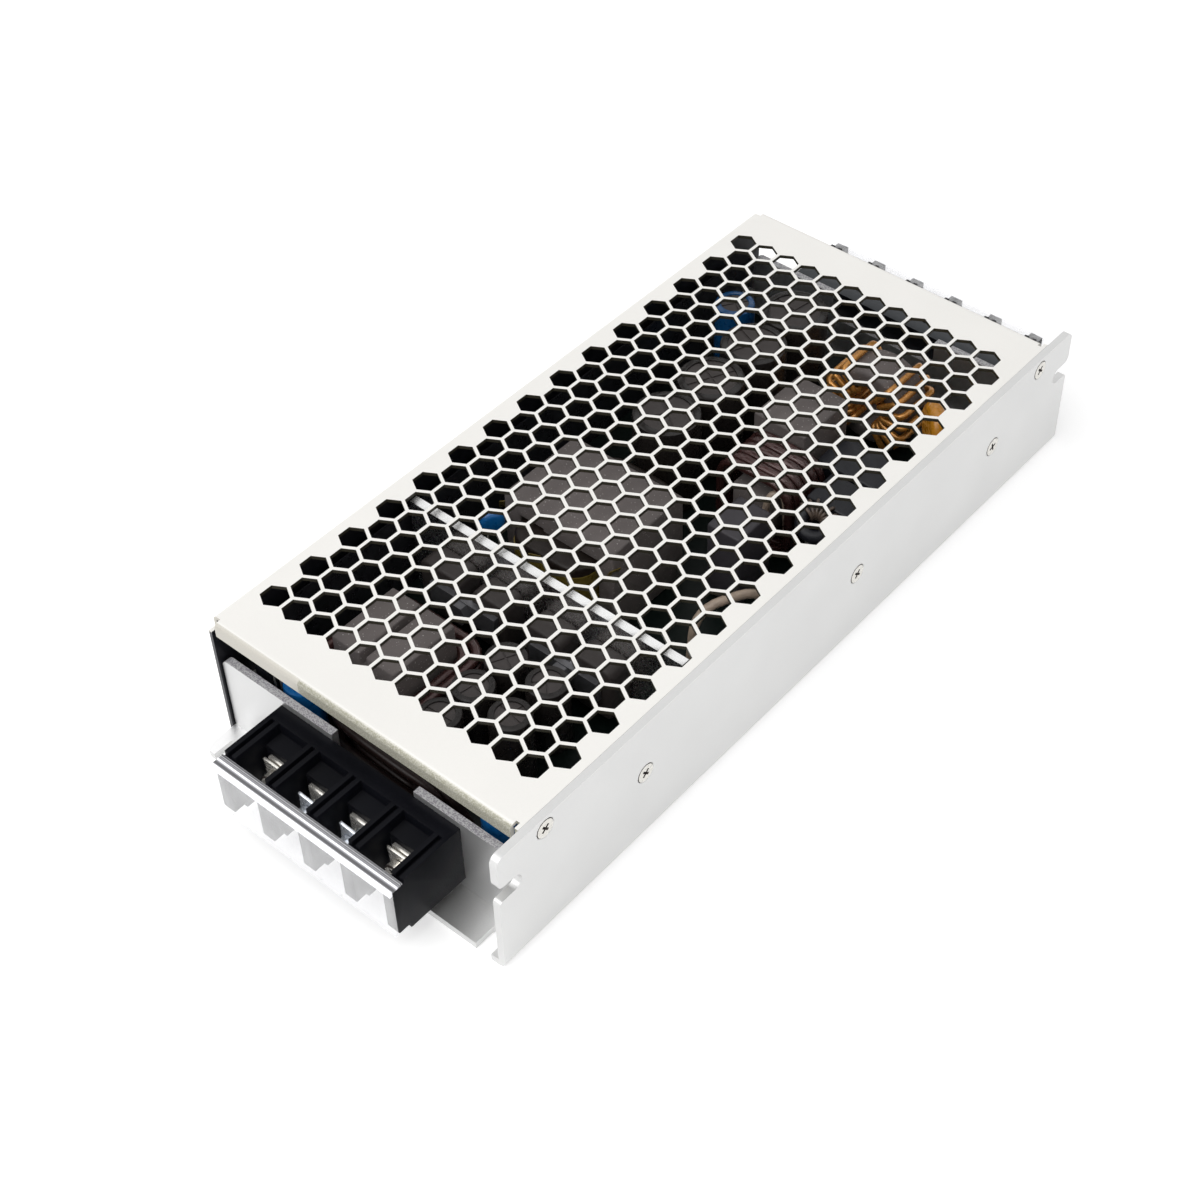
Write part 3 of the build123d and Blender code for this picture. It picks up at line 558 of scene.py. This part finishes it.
def rounded(shape, edges, offset, segments=2):
    """Bevels edges round, and never further than they have room for."""
    bmesh.ops.bevel(shape, geom=edges, offset=offset, segments=segments, profile=0.5, affect="EDGES",
                    clamp_overlap=True, material=-1)


def placed(place, *turns):
    """A matrix that moves to a place and makes (angle, axis) turns there."""
    matrix = Matrix.Translation(place)
    for angle, axis in turns:
        matrix = matrix @ Matrix.Rotation(angle, 4, axis)
    return matrix


def softened(node, width, cut=None):
    """A copy of a CAD node with its sharp edges rounded, in millimetres. What cut chooses is left out."""
    sharp_from = math.radians(40.0)
    shape = bmesh.new()
    shape.from_mesh(nodes[node].data)
    bmesh.ops.scale(shape, vec=(1 / mm, 1 / mm, 1 / mm), verts=shape.verts)
    bmesh.ops.remove_doubles(shape, verts=shape.verts, dist=0.002)
    bmesh.ops.dissolve_limit(
        shape, angle_limit=math.radians(1.5), verts=shape.verts, edges=shape.edges, use_dissolve_boundaries=False)
    if cut:
        bmesh.ops.delete(shape, geom=[vert for vert in shape.verts if cut(vert)], context="VERTS")
        open_edges = [edge for edge in shape.edges if len(edge.link_faces) == 1]
        bmesh.ops.holes_fill(shape, edges=open_edges, sides=0)
    sharp = [edge for edge in shape.edges if len(edge.link_faces) == 2 and edge.calc_face_angle() > sharp_from]
    rounded(shape, sharp, width)
    return shape


def soft_piece(node, width, name, finish, cut=None):
    """Puts a softened copy in the place of a CAD node."""
    return make_piece(softened(node, width, cut), name, [finish], [node])


print("piece helpers ready")

# %% [markdown]
# ## Screws with a cross recess
#
# The case is held by small countersunk screws with a cross recess. The recess is what makes such a screw readable,
# so it is real geometry: a square is grown into a plus by pulling its four sides out, the plus is pushed down and
# tapered, and the flat ring between the plus and the head's edge is filled. The terminal screws are drawn by the
# same function, with a cheese head instead of a cone.


# %% Screw pattern
def screw_pattern(head_steps, shank_radius, length, arm, arm_width, recess):
    """A screw that points down from the origin. Head steps are (radius, height) pairs from the rim of its top.

    The faces of the recess, and a thin rim round the head, get the second finish, which is painted shade.
    """
    shape = bmesh.new()
    bmesh.ops.create_grid(shape, x_segments=1, y_segments=1, size=arm_width / 2)
    for side in list(shape.edges):
        outward = sum((vert.co for vert in side.verts), Vector()).normalized()
        pull_loop(shape, [side], move=outward * arm)
    bmesh.ops.dissolve_faces(shape, faces=shape.faces[:])
    rim = list(shape.edges)
    bmesh.ops.delete(shape, geom=shape.faces[:], context="FACES_ONLY")
    recess_foot = pull_loop(shape, rim, move=(0.0, 0.0, -recess), grow=0.55)
    bmesh.ops.edgeloop_fill(shape, edges=recess_foot)
    top_radius, top_height = head_steps[0]
    circle = bmesh.ops.create_circle(shape, segments=24, radius=top_radius)["verts"]
    bmesh.ops.translate(shape, verts=circle, vec=(0, 0, top_height))
    ring = edges_at(circle)
    bmesh.ops.triangle_fill(shape, edges=rim + ring, use_beauty=True)
    radius, height = top_radius, top_height
    for next_radius, next_height in [*head_steps[1:], (shank_radius, head_steps[-1][1]), (shank_radius, -length)]:
        ring = pull_loop(shape, ring, move=(0.0, 0.0, next_height - height), grow=next_radius / radius)
        radius, height = next_radius, next_height
    bmesh.ops.edgeloop_fill(shape, edges=ring)
    for face in shape.faces:
        middle = face.calc_center_median()
        in_recess = -recess - 0.01 < middle.z < -0.02 and middle.xy.length < arm + arm_width / 2
        if in_recess or (middle.z > -0.3 and middle.xy.length > top_radius - 0.02):
            face.material_index = 1
    return as_pattern(shape)


case_screw = screw_pattern([(2.45, 0.0), (2.6, -0.12), (1.5, -1.15)], 1.45, 3.4, 0.95, 0.62, 0.9)
terminal_screw = screw_pattern([(2.5, 0.0), (2.9, -0.35), (2.9, -2.2)], 1.9, 10.7, 1.45, 0.8, 1.3)
print("screw patterns:", len(case_screw.polygons), len(terminal_screw.polygons), "faces")

# %% Case screws
random.seed(11)
wall_x = box_mm("chassis")[1].x
cover_left = box_mm("cover")[0].x
tab_y = 96.0
tab_z = 34.4
flange_y = 80.0
flange_z = 9.0
wall_screw_z = 21.8
wall_screw_ys = (-63.5, 16.5, 76.0)


def case_screws(name, node, places):
    """Screws in the right (side 1) or left (side -1) wall, each turned by chance."""
    shape = bmesh.new()
    for x, y, z, side in places:
        turn = random.uniform(0, math.pi / 2)
        stamp(shape, case_screw, placed((x, y, z), (side * math.pi / 2, "Y"), (turn, "Z")))
    make_piece(shape, name, [screw_skin, recess_shade], [node])
    print(name, len(places), "screws")


tab_places = [(wall_x, y, tab_z, 1) for y in (-tab_y, tab_y)]
flange_places = [(cover_left, y, flange_z, -1) for y in (-flange_y, flange_y)]
case_screws("cover_screw_set", "cover_screws", tab_places + flange_places)
case_screws("wall_screw_set", "wall_screws", [(wall_x, y, wall_screw_z, 1) for y in wall_screw_ys])

# %% [markdown]
# ## Terminal screws and clamp plates
#
# Each terminal has a plated screw and a clamp plate that rides on it: both are zinc on a loosened terminal and nickel
# on a tight one. The clamp's upper and lower edges are bent outward a little so that a wire stays under it. It starts
# as a fine grid with its middle opened and pushed out to a round hole, its edges are bent, and then the sheet gets its
# thickness and its round edges. The fixed terminal plates are softened too: their round upper edges are what shines in
# the dark bays.

# %% Softened terminal plates
for prefix in ("output", "input"):
    soft_piece(f"{prefix}_terminals", 0.5, f"{prefix}_plates", nickel_skin)
print("terminal plates softened")


# %% Clamp plate pattern
def clamp_pattern(width, height, sheet, hole, lift):
    """A plate with a round hole, whose upper and lower edges are lifted."""
    shape = bmesh.new()
    bmesh.ops.create_grid(shape, x_segments=10, y_segments=14, size=0.5)
    bmesh.ops.scale(shape, vec=(width, height, 1), verts=shape.verts)
    middle = [face for face in shape.faces if face.calc_center_median().length < hole * 1.05]
    bmesh.ops.delete(shape, geom=middle, context="FACES")
    for vert in shape.verts:
        if vert.co.length < hole * 1.35:
            vert.co = vert.co.normalized() * hole
        vert.co.z += lift * max(0.0, 2.0 * abs(vert.co.y) / height - 0.6) / 0.4
    bmesh.ops.recalc_face_normals(shape, faces=shape.faces)
    bmesh.ops.solidify(shape, geom=shape.faces[:], thickness=sheet)
    rims = [edge for edge in shape.edges if edge.calc_face_angle(0.0) > math.radians(60)]
    rounded(shape, rims, 0.28)
    return as_pattern(shape)


clamp_side = 7.0
clamp_height = 11.4
clamp_plate = clamp_pattern(clamp_side, clamp_height, 0.8, 2.05, 0.35)
loosened_turn = math.radians(-5.0)
print("clamp plate faces", len(clamp_plate.polygons))


# %% Terminal screws and clamps
def fit_terminal(prefix, number, outward):
    """A screw and its clamp, each on its own body, where the CAD ones are."""
    turn = (-outward * math.pi / 2, "X")
    low, high = box_mm(f"{prefix}_screw_{number}")
    tip = high.y if outward > 0 else low.y
    middle = Vector(((low.x + high.x) / 2, tip, (low.z + high.z) / 2))
    clamp_low, clamp_high = box_mm(f"{prefix}_clamp_{number}")
    loosened = clamp_high.x - clamp_low.x > clamp_side + 0.3
    plating = zinc if loosened else nickel_skin
    shape = bmesh.new()
    stamp(shape, terminal_screw, placed(middle, turn, (random.uniform(0.3, 1.2), "Z")))
    node = f"{prefix}_screw_{number}"
    make_piece(shape, f"{prefix}_screw_turned_{number}", [plating, recess_shade], [node], body=node)
    back = clamp_low.y if outward > 0 else clamp_high.y
    seat = Vector(((clamp_low.x + clamp_high.x) / 2, back + outward * 0.1, middle.z))
    shape = bmesh.new()
    stamp(shape, clamp_plate, placed(seat, turn, (loosened_turn if loosened else 0.0, "Z")))
    node = f"{prefix}_clamp_{number}"
    make_piece(shape, f"{prefix}_clamp_pressed_{number}", [plating], [node], body=node)


for prefix, count, outward in (("output", 4, -1), ("input", 5, 1)):
    for number in range(1, count + 1):
        fit_terminal(prefix, number, outward)
    print(prefix, "terminals fitted:", count)

# %% [markdown]
# ## Terminal blocks
#
# A moulding never has knife edges: every corner is slightly round, and that thin round edge is what catches the
# light on black plastic. The CAD block has all its steps and grooves already, so a copy of it is merged, cleaned and
# bevelled by a few tenths of a millimetre. The hinge ears above the fins' shelf are left out, because the clear cover's
# ledge is drawn down to the shelf.

# %% Terminal blocks
shelf_z = 21.9
shelf_start = 118.85


def is_hinge_ear(vert):
    return abs(vert.co.y) > shelf_start and vert.co.z > shelf_z + 0.1


for prefix, moulding in (("output", black_moulding), ("input", moulding_painted_top_light)):
    block = soft_piece(f"{prefix}_block", 0.22, f"{prefix}_moulding", moulding, is_hinge_ear)
    print(block.name, len(block.data.polygons), "faces")

# %% [markdown]
# ## Clear covers
#
# Each cover is one extruded profile of clear plastic: a ledge with three fine ribs that rests on the shelf of the fins,
# and a plate that hangs down in front of the screws. The ribs stiffen the edge; the bright and dark lines along it are
# painted highlight and shade in the output ledge's finish. The profile is a few points, pulled along the block's whole
# width. The ledge gets the clear finish, and the plate the hazy one, each with a painted glow.

# %% Clear covers
panel_face_y = 101.5
ledge_foot = 21.0
cover_profile = (
    (17.85, 21.95), (17.85, 22.5), (18.15, 22.75), (18.45, 22.5), (19.1, 22.5), (19.4, 22.75), (19.7, 22.5),
    (20.8, 22.5), (21.15, 22.85), (21.6, 22.6), (21.65, 21.95), (21.65, 7.0), (20.85, 7.0), (20.85, 21.95),
)
for prefix, outward, ledge in (("output", -1, ribbed_ledge_painted_lines), ("input", 1, faint_ledge_painted_glow)):
    low, high = box_mm(f"{prefix}_cover")
    shape = bmesh.new()
    corners = [shape.verts.new((low.x, outward * (panel_face_y + depth), z)) for depth, z in cover_profile]
    section = shape.faces.new(corners)
    pulled = bmesh.ops.extrude_face_region(shape, geom=[section])["geom"]
    bmesh.ops.translate(shape, verts=new_verts(pulled), vec=(high.x - low.x, 0, 0))
    everything = [*shape.verts, *shape.edges, *shape.faces]
    bmesh.ops.bisect_plane(shape, geom=everything, plane_co=(0, 0, ledge_foot), plane_no=(0, 0, 1))
    for face in shape.faces:
        face.material_index = 1 if face.calc_center_median().z > ledge_foot else 0
    make_piece(shape, f"{prefix}_clear_cover", [hazy_plate_painted_glow, ledge], [f"{prefix}_cover"],
               body=f"{prefix}_cover", smooth=25.0)
    print(prefix, "clear cover", round(high.x - low.x, 1), "mm wide")

# %% [markdown]
# ## Capacitor cans
#
# A can is an aluminium cup in a printed sleeve. The sleeve shrinks over the shoulder of the cup and leaves a disc of
# the top in the open, and that disc is scored with a cross, where the can would vent. The wall is a loop pulled up
# from a circle, the shoulder is two more pulls, and the score is cut into the disc with four planes.


# %% Can pattern
def can_pattern(radius, height, lip, score):
    """A can that stands on the origin. Faces of the open top disc get the second finish."""
    shoulder, disc_drop, groove_depth = 0.7, 0.35, 0.3
    shape = bmesh.new()
    circle = bmesh.ops.create_circle(shape, segments=32, radius=radius * 0.96)["verts"]
    foot = edges_at(circle)
    loop = pull_loop(shape, foot, move=(0, 0, 0.4), grow=1 / 0.96)
    bmesh.ops.edgeloop_fill(shape, edges=foot)
    loop = pull_loop(shape, loop, move=(0, 0, height - 0.4 - shoulder))
    loop = pull_loop(shape, loop, move=(0, 0, shoulder * 0.65), grow=1 - 0.25 * shoulder / radius)
    loop = pull_loop(shape, loop, move=(0, 0, shoulder * 0.35), grow=1 - 0.9 * shoulder / radius)
    loop = pull_loop(shape, loop, grow=1 - lip / radius)
    loop = pull_loop(shape, loop, move=(0, 0, -disc_drop), grow=1 - 0.15 / radius)
    disc = bmesh.ops.edgeloop_fill(shape, edges=loop)["faces"]
    for direction in ((1, 0, 0), (0, 1, 0)):
        for side in (-1, 1):
            edges = {edge for face in disc for edge in face.edges}
            verts = {vert for face in disc for vert in face.verts}
            bmesh.ops.bisect_plane(
                shape, geom=[*disc, *edges, *verts], plane_co=Vector(direction) * side * score / 2, plane_no=direction)
            disc = [face for face in shape.faces
                    if abs(face.calc_center_median().z - (height - disc_drop)) < 0.01 and face.normal.z > 0.9]
    for face in disc:
        face.material_index = 1
    grooves = [face for face in disc if min(abs(number) for number in face.calc_center_median().xy) < score / 2]
    sunk = bmesh.ops.extrude_face_region(shape, geom=grooves)["geom"]
    bmesh.ops.translate(shape, verts=new_verts(sunk), vec=(0, 0, -groove_depth))
    bmesh.ops.delete(shape, geom=[face for face in grooves if face.is_valid], context="FACES_ONLY")
    return as_pattern(shape)


def stand_cans(name, node, places, radius, sleeve, lip, score):
    """A row of equal cans in the place of a CAD node."""
    low, high = box_mm(node)
    pattern = can_pattern(radius, high.z - low.z, lip, score)
    shape = bmesh.new()
    for x, y in places:
        stamp(shape, pattern, placed((x, y, low.z), (random.uniform(0, 1.5), "Z")))
    piece = make_piece(shape, name, [sleeve, can_top], [node], smooth=40.0)
    print(name, len(places), "cans,", len(piece.data.polygons), "faces")


random.seed(5)
bulk_can_places = [(-16.0, 22.5 + 18.0 * index) for index in range(4)]
output_can_places = ((4.2, -60.5), (4.2, -71.5), (4.2, -82.5), (16.5, -60.0), (16.5, -72.5))
stand_cans("bulk_cans", "bulk_capacitors", bulk_can_places, 8.9, can_sleeve, 1.3, 0.7)
stand_cans("output_cans", "output_capacitors", output_can_places, 5.25, can_sleeve, 0.9, 0.5)
stand_cans("tall_blue_can", "sleeved_capacitor", [(-32.0, 71.0)], 5.5, blue_sleeve, 1.0, 0.5)
stand_cans("front_dark_can", "front_capacitors", [(-40.0, -92.3)], 4.5, dark_case, 0.8, 0.5)
front_blue_places = ((-28.5, -94.0), (31.5, -92.3))
stand_cans("front_blue_cans", "front_capacitors", front_blue_places, 4.5, bright_blue, 0.8, 0.5)

# %% [markdown]
# ## Wound wire
#
# A coil is many turns of thick round wire laid side by side. One turn is a closed tube on a rectangle with round
# corners: a small circle is pulled straight, spun round a corner, pulled straight again, four times over. The turn is
# a pattern, stamped side by side along a rod or turned round a ring.


# %% Wire turn pattern
def turn_pattern(half_width, half_height, corner, radius, sides=10, steps=5):
    """One closed turn of round wire in the XZ plane, round the Y axis."""
    shape = bmesh.new()
    circle = bmesh.ops.create_circle(shape, segments=sides, radius=radius)["verts"]
    bmesh.ops.translate(shape, verts=circle, vec=(half_width, 0, corner - half_height))
    loop = edges_at(circle)
    inner_x, inner_z = half_width - corner, half_height - corner
    legs = (
        ((0, 0, 2 * inner_z), (inner_x, 0, inner_z)),
        ((-2 * inner_x, 0, 0), (-inner_x, 0, inner_z)),
        ((0, 0, -2 * inner_z), (-inner_x, 0, -inner_z)),
        ((2 * inner_x, 0, 0), (inner_x, 0, -inner_z)),
    )
    for straight, centre in legs:
        loop = pull_loop(shape, loop, move=straight)
        verts = list({vert for edge in loop for vert in edge.verts})
        bent = bmesh.ops.spin(
            shape, geom=verts + loop, cent=centre, axis=(0, 1, 0), angle=-math.pi / 2, steps=steps)["geom_last"]
        loop = [item for item in bent if isinstance(item, bmesh.types.BMEdge)]
    bmesh.ops.remove_doubles(shape, verts=shape.verts, dist=0.01)
    return as_pattern(shape)


print("turn helper ready")

# %% Filter ring and its windings
ring_low, ring_high = box_mm("filter_ring")
ring_middle = (ring_low + ring_high) / 2
ring_outer = (ring_high.x - ring_low.x) / 2
ring_inner = 6.5
ring_half_width = (ring_high.y - ring_low.y) / 2
ring_shape = bmesh.new()
bmesh.ops.create_grid(ring_shape, x_segments=1, y_segments=1, size=0.5)
bmesh.ops.scale(ring_shape, vec=(ring_outer - ring_inner, 2 * ring_half_width, 1), verts=ring_shape.verts)
bmesh.ops.bevel(
    ring_shape, geom=ring_shape.verts[:], offset=1.2, segments=3, profile=0.5, affect="VERTICES", material=-1)
bmesh.ops.translate(ring_shape, verts=ring_shape.verts, vec=((ring_outer + ring_inner) / 2, 0, 0))
bmesh.ops.delete(ring_shape, geom=ring_shape.faces[:], context="FACES_ONLY")
bmesh.ops.spin(ring_shape, geom=[*ring_shape.verts, *ring_shape.edges], cent=(0, 0, 0), axis=(0, 1, 0),
               angle=2 * math.pi, steps=48, use_merge=True)
bmesh.ops.translate(ring_shape, verts=ring_shape.verts, vec=ring_middle)
make_piece(ring_shape, "ring_core", [ferrite_body], ["filter_ring"])

ring_wire = 0.9
ring_clear = 0.35 + ring_wire
ring_turn = turn_pattern((ring_outer - ring_inner) / 2 + ring_clear, ring_half_width + ring_clear, 1.6, ring_wire)
ring_winding = bmesh.new()
ring_turns, ring_arc = 7, 108.0
for side in (0.0, 180.0):
    for index in range(ring_turns):
        angle = math.radians(side - ring_arc / 2 + ring_arc * index / (ring_turns - 1))
        place = (Matrix.Translation(ring_middle) @ Matrix.Rotation(-angle, 4, "Y")
                 @ Matrix.Translation(((ring_outer + ring_inner) / 2, 0, 0)) @ Matrix.Rotation(math.pi / 2, 4, "X"))
        stamp(ring_winding, ring_turn, place)
make_piece(ring_winding, "ring_windings", [gold_wire], ["filter_windings"], smooth=60.0)
print("ring turns", 2 * ring_turns)

# %% Input choke
rod_low, rod_high = box_mm("input_choke_coil")
coil_wire = 1.3
coil_turns = 6
rod_size = rod_high - rod_low
coil_turn = turn_pattern(rod_size.x / 2 - coil_wire, rod_size.z / 2 - coil_wire, 5.5, coil_wire)
input_coil = bmesh.new()
for index in range(coil_turns):
    y = rod_low.y + coil_wire + index * (rod_size.y - 2 * coil_wire) / (coil_turns - 1)
    stamp(input_coil, coil_turn, Matrix.Translation(((rod_low.x + rod_high.x) / 2, y, (rod_low.z + rod_high.z) / 2)))
make_piece(input_coil, "input_coil_turns", [red_wire], ["input_choke_coil"], smooth=60.0)
soft_piece("input_choke_core", 0.5, "input_choke_ferrite", ferrite_body)
print("input choke turns", coil_turns)

# %% Output choke
pancake_low, pancake_high = box_mm("output_choke_coil")
pancake_wire = 1.35
pancake_layers = 5
pancake_pitch = 2.02 * pancake_wire
pancake_middle = (pancake_low + pancake_high) / 2
pancake_size = pancake_high - pancake_low
output_coil = bmesh.new()
for ring_index in range(2):
    inset = pancake_wire + pancake_pitch * ring_index
    turn = turn_pattern(pancake_size.x / 2 - inset, pancake_size.y / 2 - inset, 6.0 - 1.5 * ring_index, pancake_wire)
    for layer in range(pancake_layers):
        z = pancake_high.z - pancake_wire - layer * pancake_pitch - 0.5 * ring_index
        stamp(output_coil, turn, placed((pancake_middle.x, pancake_middle.y, z), (math.pi / 2, "X")))
make_piece(output_coil, "output_coil_turns", [red_wire], ["output_choke_coil"], smooth=60.0)
soft_piece("output_choke_core", 0.5, "output_choke_ferrite", ferrite_body)
print("output choke turns", 2 * pancake_layers)

# %% [markdown]
# ## Transformer
#
# Two ferrite halves close round a bobbin. The winding stands out at both ends under dark tape, and a yellow tape
# holds it. The core's ground faces are flat with small round edges, so it is a softened copy of the CAD core. The
# winding is a block with rounded corners, and the tape is a thin band round it.

# %% Transformer
soft_piece("transformer_core", 0.5, "transformer_ferrite", ferrite_body)
winding_low, winding_high = box_mm("transformer_coil")
winding_middle = (winding_low + winding_high) / 2
winding_size = winding_high - winding_low


def wound_block(size, middle, corner):
    """A block with rounded upright corners and a loop half way up."""
    shape = bmesh.new()
    bmesh.ops.create_cube(shape, size=1.0)
    bmesh.ops.scale(shape, vec=size, verts=shape.verts)
    upright = [edge for edge in shape.edges if abs(edge.verts[0].co.z - edge.verts[1].co.z) > size[2] / 2]
    rounded(shape, upright, corner, 5)
    everything = [*shape.verts, *shape.edges, *shape.faces]
    bmesh.ops.bisect_plane(shape, geom=everything, plane_co=(0, 0, 0), plane_no=(0, 0, 1))
    bmesh.ops.translate(shape, verts=shape.verts, vec=middle)
    return shape


winding_shape = wound_block(winding_size * 0.985, winding_middle, 6.0)
rims = [edge for edge in winding_shape.edges if edge.calc_face_angle(0.0) > math.radians(60)]
rounded(winding_shape, rims, 1.2, 3)
make_piece(winding_shape, "transformer_winding", [dark_wrap], ["transformer_coil"])
band_size = Vector((winding_size.x, winding_size.y, winding_size.z * 0.62))
band_shape = wound_block(band_size, winding_middle, 6.1)
make_piece(band_shape, "transformer_tape", [tape_yellow])
print("transformer winding", [round(c, 1) for c in winding_size])

# %% [markdown]
# ## Small parts and leads
#
# Between the large parts stand small ones that show as bits of colour in single holes: dipped discs, a small wound
# ring, sleeved wires, tape ends, and the leads that run to the output terminals. Each stands on the board on bare
# legs, or ends in the part that carries it. A lead is a circle pulled along a few points, turned a little at each, so
# that it bends without a kink.


# %% Lead helper
def laid_wire(shape, points, radius):
    """A round wire through a few points. Every bend is rounded by points on a curve."""
    sides, rounds = 8, 6
    knots = [Vector(point) for point in points]
    path = [knots[0]]
    for before, knot, after in zip(knots, knots[1:], knots[2:]):
        start, end = before.lerp(knot, 0.6), knot.lerp(after, 0.4)
        shares = [index / rounds for index in range(rounds + 1)]
        path += [start.lerp(knot, share).lerp(knot.lerp(end, share), share) for share in shares]
    path.append(knots[-1])
    ways = [(after - before).normalized() for before, after in zip(path, path[1:])]
    facing = ways[0]
    matrix = Matrix.Translation(path[0]) @ facing.to_track_quat("Z", "Y").to_matrix().to_4x4()
    circle = bmesh.ops.create_circle(shape, segments=sides, radius=radius, matrix=matrix)["verts"]
    loop = edges_at(circle)
    bmesh.ops.edgeloop_fill(shape, edges=loop)
    for index, place in enumerate(path[1:]):
        loop = pull_loop(shape, loop, move=place - path[index])
        next_facing = (ways[index] + ways[min(index + 1, len(ways) - 1)]).normalized()
        verts = list({vert for edge in loop for vert in edge.verts})
        bmesh.ops.rotate(shape, cent=place, matrix=facing.rotation_difference(next_facing).to_matrix(), verts=verts)
        facing = next_facing
    bmesh.ops.edgeloop_fill(shape, edges=loop)
    return shape


def dipped_disc(shape, centre, radius, thickness, turn):
    """A round dipped part that stands on edge: a short drum whose rims are rounded."""
    matrix = placed(centre, (turn, "Z"), (math.pi / 2, "X"))
    made = bmesh.ops.create_cone(shape, cap_ends=True, segments=24, radius1=radius, radius2=radius, depth=thickness,
                                 matrix=matrix)["verts"]
    rims = [edge for edge in edges_at(made) if edge.calc_face_angle(0.0) > math.radians(60)]
    rounded(shape, rims, thickness * 0.42, 4)


print("lead helper ready")

# %% Power devices, boxes and the surge disc
soft_piece("power_devices", 0.9, "silicone_caps", silicone)
soft_piece("film_capacitors", 0.6, "film_boxes", dark_case)
soft_piece("grey_capacitor", 0.6, "grey_box", grey_case)
disc_low, disc_high = box_mm("surge_disc")
disc_radius = (disc_high.x - disc_low.x) / 2
surge_disc = bmesh.new()
disc_middle = Vector(((disc_low.x + disc_high.x) / 2, (disc_low.y + disc_high.y) / 2, disc_high.z - disc_radius))
dipped_disc(surge_disc, disc_middle, disc_radius, disc_high.y - disc_low.y, -0.75)
for side in (-2.5, 2.5):
    foot = disc_middle + Vector((side * 0.73, -side * 0.68, 0.0))
    laid_wire(surge_disc, [foot, (foot.x, foot.y, disc_low.z)], 0.35)
make_piece(surge_disc, "surge_disc_dipped", [orange_coat], ["surge_disc"])
print("boxes and disc softened")

# %% Coloured bits
board_top = 6.6
blue_bits, bare_legs = bmesh.new(), bmesh.new()
blue_discs = (((-28.6, -29.6, 27.2), 3.3, 3.4, 0.9), ((-35.5, -95.5, 26.0), 2.2, 2.0, 0.2))
for centre, radius, thickness, turn in blue_discs:
    dipped_disc(blue_bits, centre, radius, thickness, turn)
    for side in (-0.4 * radius, 0.4 * radius):
        x, y = centre[0] + side * math.cos(turn), centre[1] + side * math.sin(turn)
        laid_wire(bare_legs, [(x, y, centre[2]), (x, y, board_top)], 0.3)
make_piece(blue_bits, "blue_dipped_discs", [bright_blue])
sleeves = bmesh.new()
laid_wire(sleeves, [(28.3, -23.2, board_top), (29.0, -22.0, 27.5), (37.5, -6.0, 28.0), (38.2, -4.8, board_top)], 1.2)
laid_wire(sleeves, [(17.5, 18.9, board_top), (17.9, 20.2, 27.5), (21.5, 23.0, 27.5), (22.0, 23.5, 15.0)], 0.9)
make_piece(sleeves, "sleeved_wires", [tan_wire], smooth=60.0)
tape_places = (
    (-12.5, -31.5, 26.0, 0.4, 3.2), (6.0, -24.5, 27.0, 1.2, 3.2), (-29.9, -21.8, 26.5, 0.8, 5.2),
    (3.6, 1.1, 26.0, 2.0, 3.2),
)
tape_ends = bmesh.new()
for x, y, z, turn, width in tape_places:
    strip = placed((x, y, z), (turn, "Z"), (0.5, "X")) @ Matrix.Diagonal((width, 0.25, 4.5, 1.0))
    made = bmesh.ops.create_cube(tape_ends, size=1.0, matrix=strip)["verts"]
    rounded(tape_ends, edges_at(made), 0.1, 1)
make_piece(tape_ends, "tape_ends", [tape_yellow])
print("coloured bits placed")

# %% Small wound ring
small_radius = 3.6
small_ring = bmesh.new()
section_place = placed((small_radius, 0, 0), (math.pi / 2, "X"))
ring_section = bmesh.ops.create_circle(small_ring, segments=10, radius=1.7, matrix=section_place)["verts"]
bmesh.ops.spin(small_ring, geom=[*ring_section, *small_ring.edges], cent=(0, 0, 0), axis=(0, 0, 1), angle=2 * math.pi,
               steps=24, use_merge=True)
ring_place = placed((32.0, 21.5, 25.0), (0.6, "Z"), (0.5, "X"))
bmesh.ops.transform(small_ring, matrix=ring_place, verts=small_ring.verts)
make_piece(small_ring, "small_ring", [dark_case], smooth=60.0)
small_turn = turn_pattern(2.2, 2.2, 1.6, 0.45, sides=8, steps=4)
small_turns = bmesh.new()
for index in range(6):
    stamp(small_turns, small_turn, ring_place @ Matrix.Rotation(math.radians(20 + index * 22), 4, "Z")
          @ Matrix.Translation((small_radius, 0, 0)))
make_piece(small_turns, "small_ring_turns", [brown_wire], smooth=60.0)
for angle in (math.radians(-60), math.radians(-120)):
    start = ring_place @ Vector((small_radius * math.cos(angle), small_radius * math.sin(angle), 0.0))
    laid_wire(bare_legs, [start, (start.x, start.y, board_top)], 0.45)
make_piece(bare_legs, "small_part_legs", [nickel_skin], smooth=60.0)
print("small ring turns 6")

# %% Leads to the output terminals
leads = bmesh.new()
choke_front = -88.0
lead_rows = ((-92.5, 17.0), (-95.0, 19.5), (-97.4, 16.0), (-94.0, 13.5))
for index, (y, z) in enumerate(lead_rows):
    left, right = 2.0 * index, -3.0 * index
    laid_wire(leads, [(left - 24.0, choke_front, z - 6.0), (left - 20.0, y, z), (4.0, y - 1.0, z + 0.5),
                      (right + 16.0, y + 0.5, z - 2.0), (right + 19.0, y + 2.0, board_top)], 1.25)
make_piece(leads, "output_leads", [dark_lead], smooth=60.0)
print("leads", len(lead_rows))
